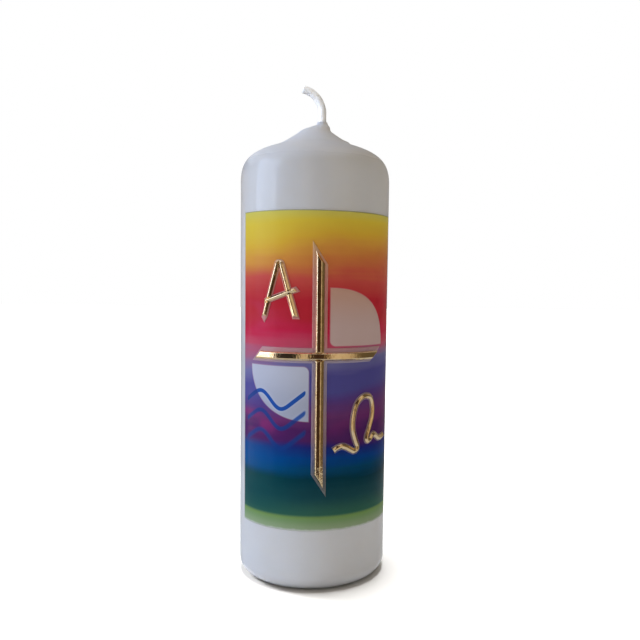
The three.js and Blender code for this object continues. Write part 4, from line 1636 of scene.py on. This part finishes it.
    @staticmethod
    def sun(name: str, target: bpy.types.Object, form: Lamp) -> None:
        """A far soft lamp that lights one object only.

        Args:
            name: its name.
            target: the object.
            form: the lamp's place, size and strength.
        """
        light = bpy.data.lights.new(name, "SUN")
        light.angle = math.radians(form.spread)
        light.energy = form.strength
        lean, turn = math.radians(form.tilt), math.radians(form.azimuth)
        level = math.sin(lean)
        towards = Vector((level * math.sin(turn), -level * math.cos(turn), math.cos(lean)))
        lamp = bpy.data.objects.new(name, light)
        lamp.rotation_mode = "QUATERNION"
        lamp.rotation_quaternion = towards.to_track_quat("Z", "Y")
        bpy.context.scene.collection.objects.link(lamp)
        only = bpy.data.collections.new(name)
        only.objects.link(target)
        lamp.light_linking.receiver_collection = only

    @staticmethod
    def place(name: str, mesh: bpy.types.Mesh) -> bpy.types.Object:
        """Puts a mesh of the studio into the scene."""
        thing = bpy.data.objects.new(name, mesh)
        bpy.context.scene.collection.objects.link(thing)
        return thing

    def window(self, floor: bpy.types.Object) -> None:
        """Daylight from a tall soft window on the left. It doesn't light the floor."""
        turn = math.radians(self.window_azimuth)
        light = bpy.data.lights.new("window", "AREA")
        light.shape = "RECTANGLE"
        light.size, light.size_y = self.window_width, self.window_height
        light.energy = self.window_power
        light.color = self.window_tint
        lamp = bpy.data.objects.new("window", light)
        spot = Vector((math.sin(turn), -math.cos(turn), 0.0)) * self.window_distance
        spot.z = self.window_rise
        lamp.location = spot
        lamp.rotation_mode = "QUATERNION"
        aim = Vector((0.0, 0.0, self.window_aim))
        lamp.rotation_quaternion = (aim - spot).to_track_quat("-Z", "Y")
        lamp.visible_camera = False
        bpy.context.scene.collection.objects.link(lamp)
        all_but = bpy.data.collections.new("window")
        all_but.objects.link(floor)
        all_but.collection_objects[0].light_linking.link_state = "EXCLUDE"
        lamp.light_linking.receiver_collection = all_but

    def world(self) -> None:
        """Soft warm light from all round. Seen directly or in a reflection, it is white."""
        world = bpy.data.worlds.new("studio")
        bpy.context.scene.world = world
        world.use_nodes = True
        world.node_tree.nodes.clear()
        desk = Desk(world.node_tree)
        soft, white = (
            desk.add("ShaderNodeBackground", {}, {"Color": colour, "Strength": 1.0}).outputs[0]
            for colour in ((*self.ambient, 1.0), (1.0, 1.0, 1.0, 1.0))
        )
        both = desk.add("ShaderNodeMixShader", {}, {0: desk.seen(), 1: soft, 2: white})
        desk.add("ShaderNodeOutputWorld", {}, {"Surface": both.outputs[0]})

    def build(self, wick: bpy.types.Object) -> None:
        """Makes the floor, the cards, the lamps and the world, and sets the view."""
        floor = self.floor()
        self.cards()
        self.window(floor)
        self.sun("floor_light", floor, self.floor_light)
        self.sun("floor_fill", floor, self.floor_fill)
        self.sun("wick_light", wick, self.wick_light)
        self.world()
        bpy.context.scene.view_settings.view_transform = "Standard"
        log.info("studio: floor, cards, lamps and world")


@dataclass
class Viewpoint:
    """The camera of the photograph, for a square image."""

    place: tuple[float, float, float] = (-26.6, -344.85, 136.86)
    yaw: float = 7.455
    pitch: float = 4.242
    roll: float = -0.792
    lens: float = 40.39
    shift_x: float = -0.05
    shift_y: float = 0.03
    sensor: float = 36.0
    clip: Pair = (0.01, 20.0)

    def build(self) -> None:
        """Makes the camera. It looks along +Y, turned by yaw to +X, by pitch downwards and by
        roll about its own axis."""
        yaw, pitch, roll = (math.radians(angle) for angle in (self.yaw, self.pitch, self.roll))
        flat = math.cos(pitch)
        ahead = Vector((math.sin(yaw) * flat, math.cos(yaw) * flat, -math.sin(pitch)))
        level = Vector((math.cos(yaw), -math.sin(yaw), 0.0))
        upright = level.cross(ahead)
        right = level * math.cos(roll) - upright * math.sin(roll)
        up = level * math.sin(roll) + upright * math.cos(roll)
        data = bpy.data.cameras.new("camera")
        data.lens = self.lens
        data.sensor_width = self.sensor
        data.shift_x, data.shift_y = self.shift_x, self.shift_y
        data.clip_start, data.clip_end = self.clip
        camera = bpy.data.objects.new("camera", data)
        turn = Matrix((right, up, -ahead)).transposed().to_4x4()
        camera.matrix_world = Matrix.Translation(Vector(self.place) * MM) @ turn
        bpy.context.scene.collection.objects.link(camera)
        bpy.context.scene.camera = camera
        log.info("camera at %s mm", self.place)


def main() -> None:
    """Builds the candle's pieces round the frame, then the studio and the camera."""
    logging.basicConfig(level=logging.INFO, format="%(message)s", stream=sys.stdout)
    for thing in list(bpy.data.objects):
        bpy.data.objects.remove(thing)
    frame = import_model()

    white = WaxFinish("white_wax", colour=(0.76, 0.75, 0.74), shade=(0.735, 0.72, 0.70),
                      roughness=0.14, shine=0.34)
    core = WaxFinish("core_wax", colour=(0.78, 0.76, 0.70), shade=(0.72, 0.70, 0.64), roughness=0.5)
    bands = PrintedBands()
    gold = GoldFinish().material()
    rim = RimFinish(bands).material()

    frame["nodes"]["candle_core"].data.materials.clear()
    frame["nodes"]["candle_core"].data.materials.append(core.material())
    WaxBody(white).build()
    wick = Wick(WickFinish()).build()
    Film(FilmFinish(bands)).build()
    Cross(gold, rim).build()
    Alpha(gold, rim).build()
    Omega(gold, rim).build()
    Studio().build(wick)
    Viewpoint().build()


if __name__ == "__main__":
    main()
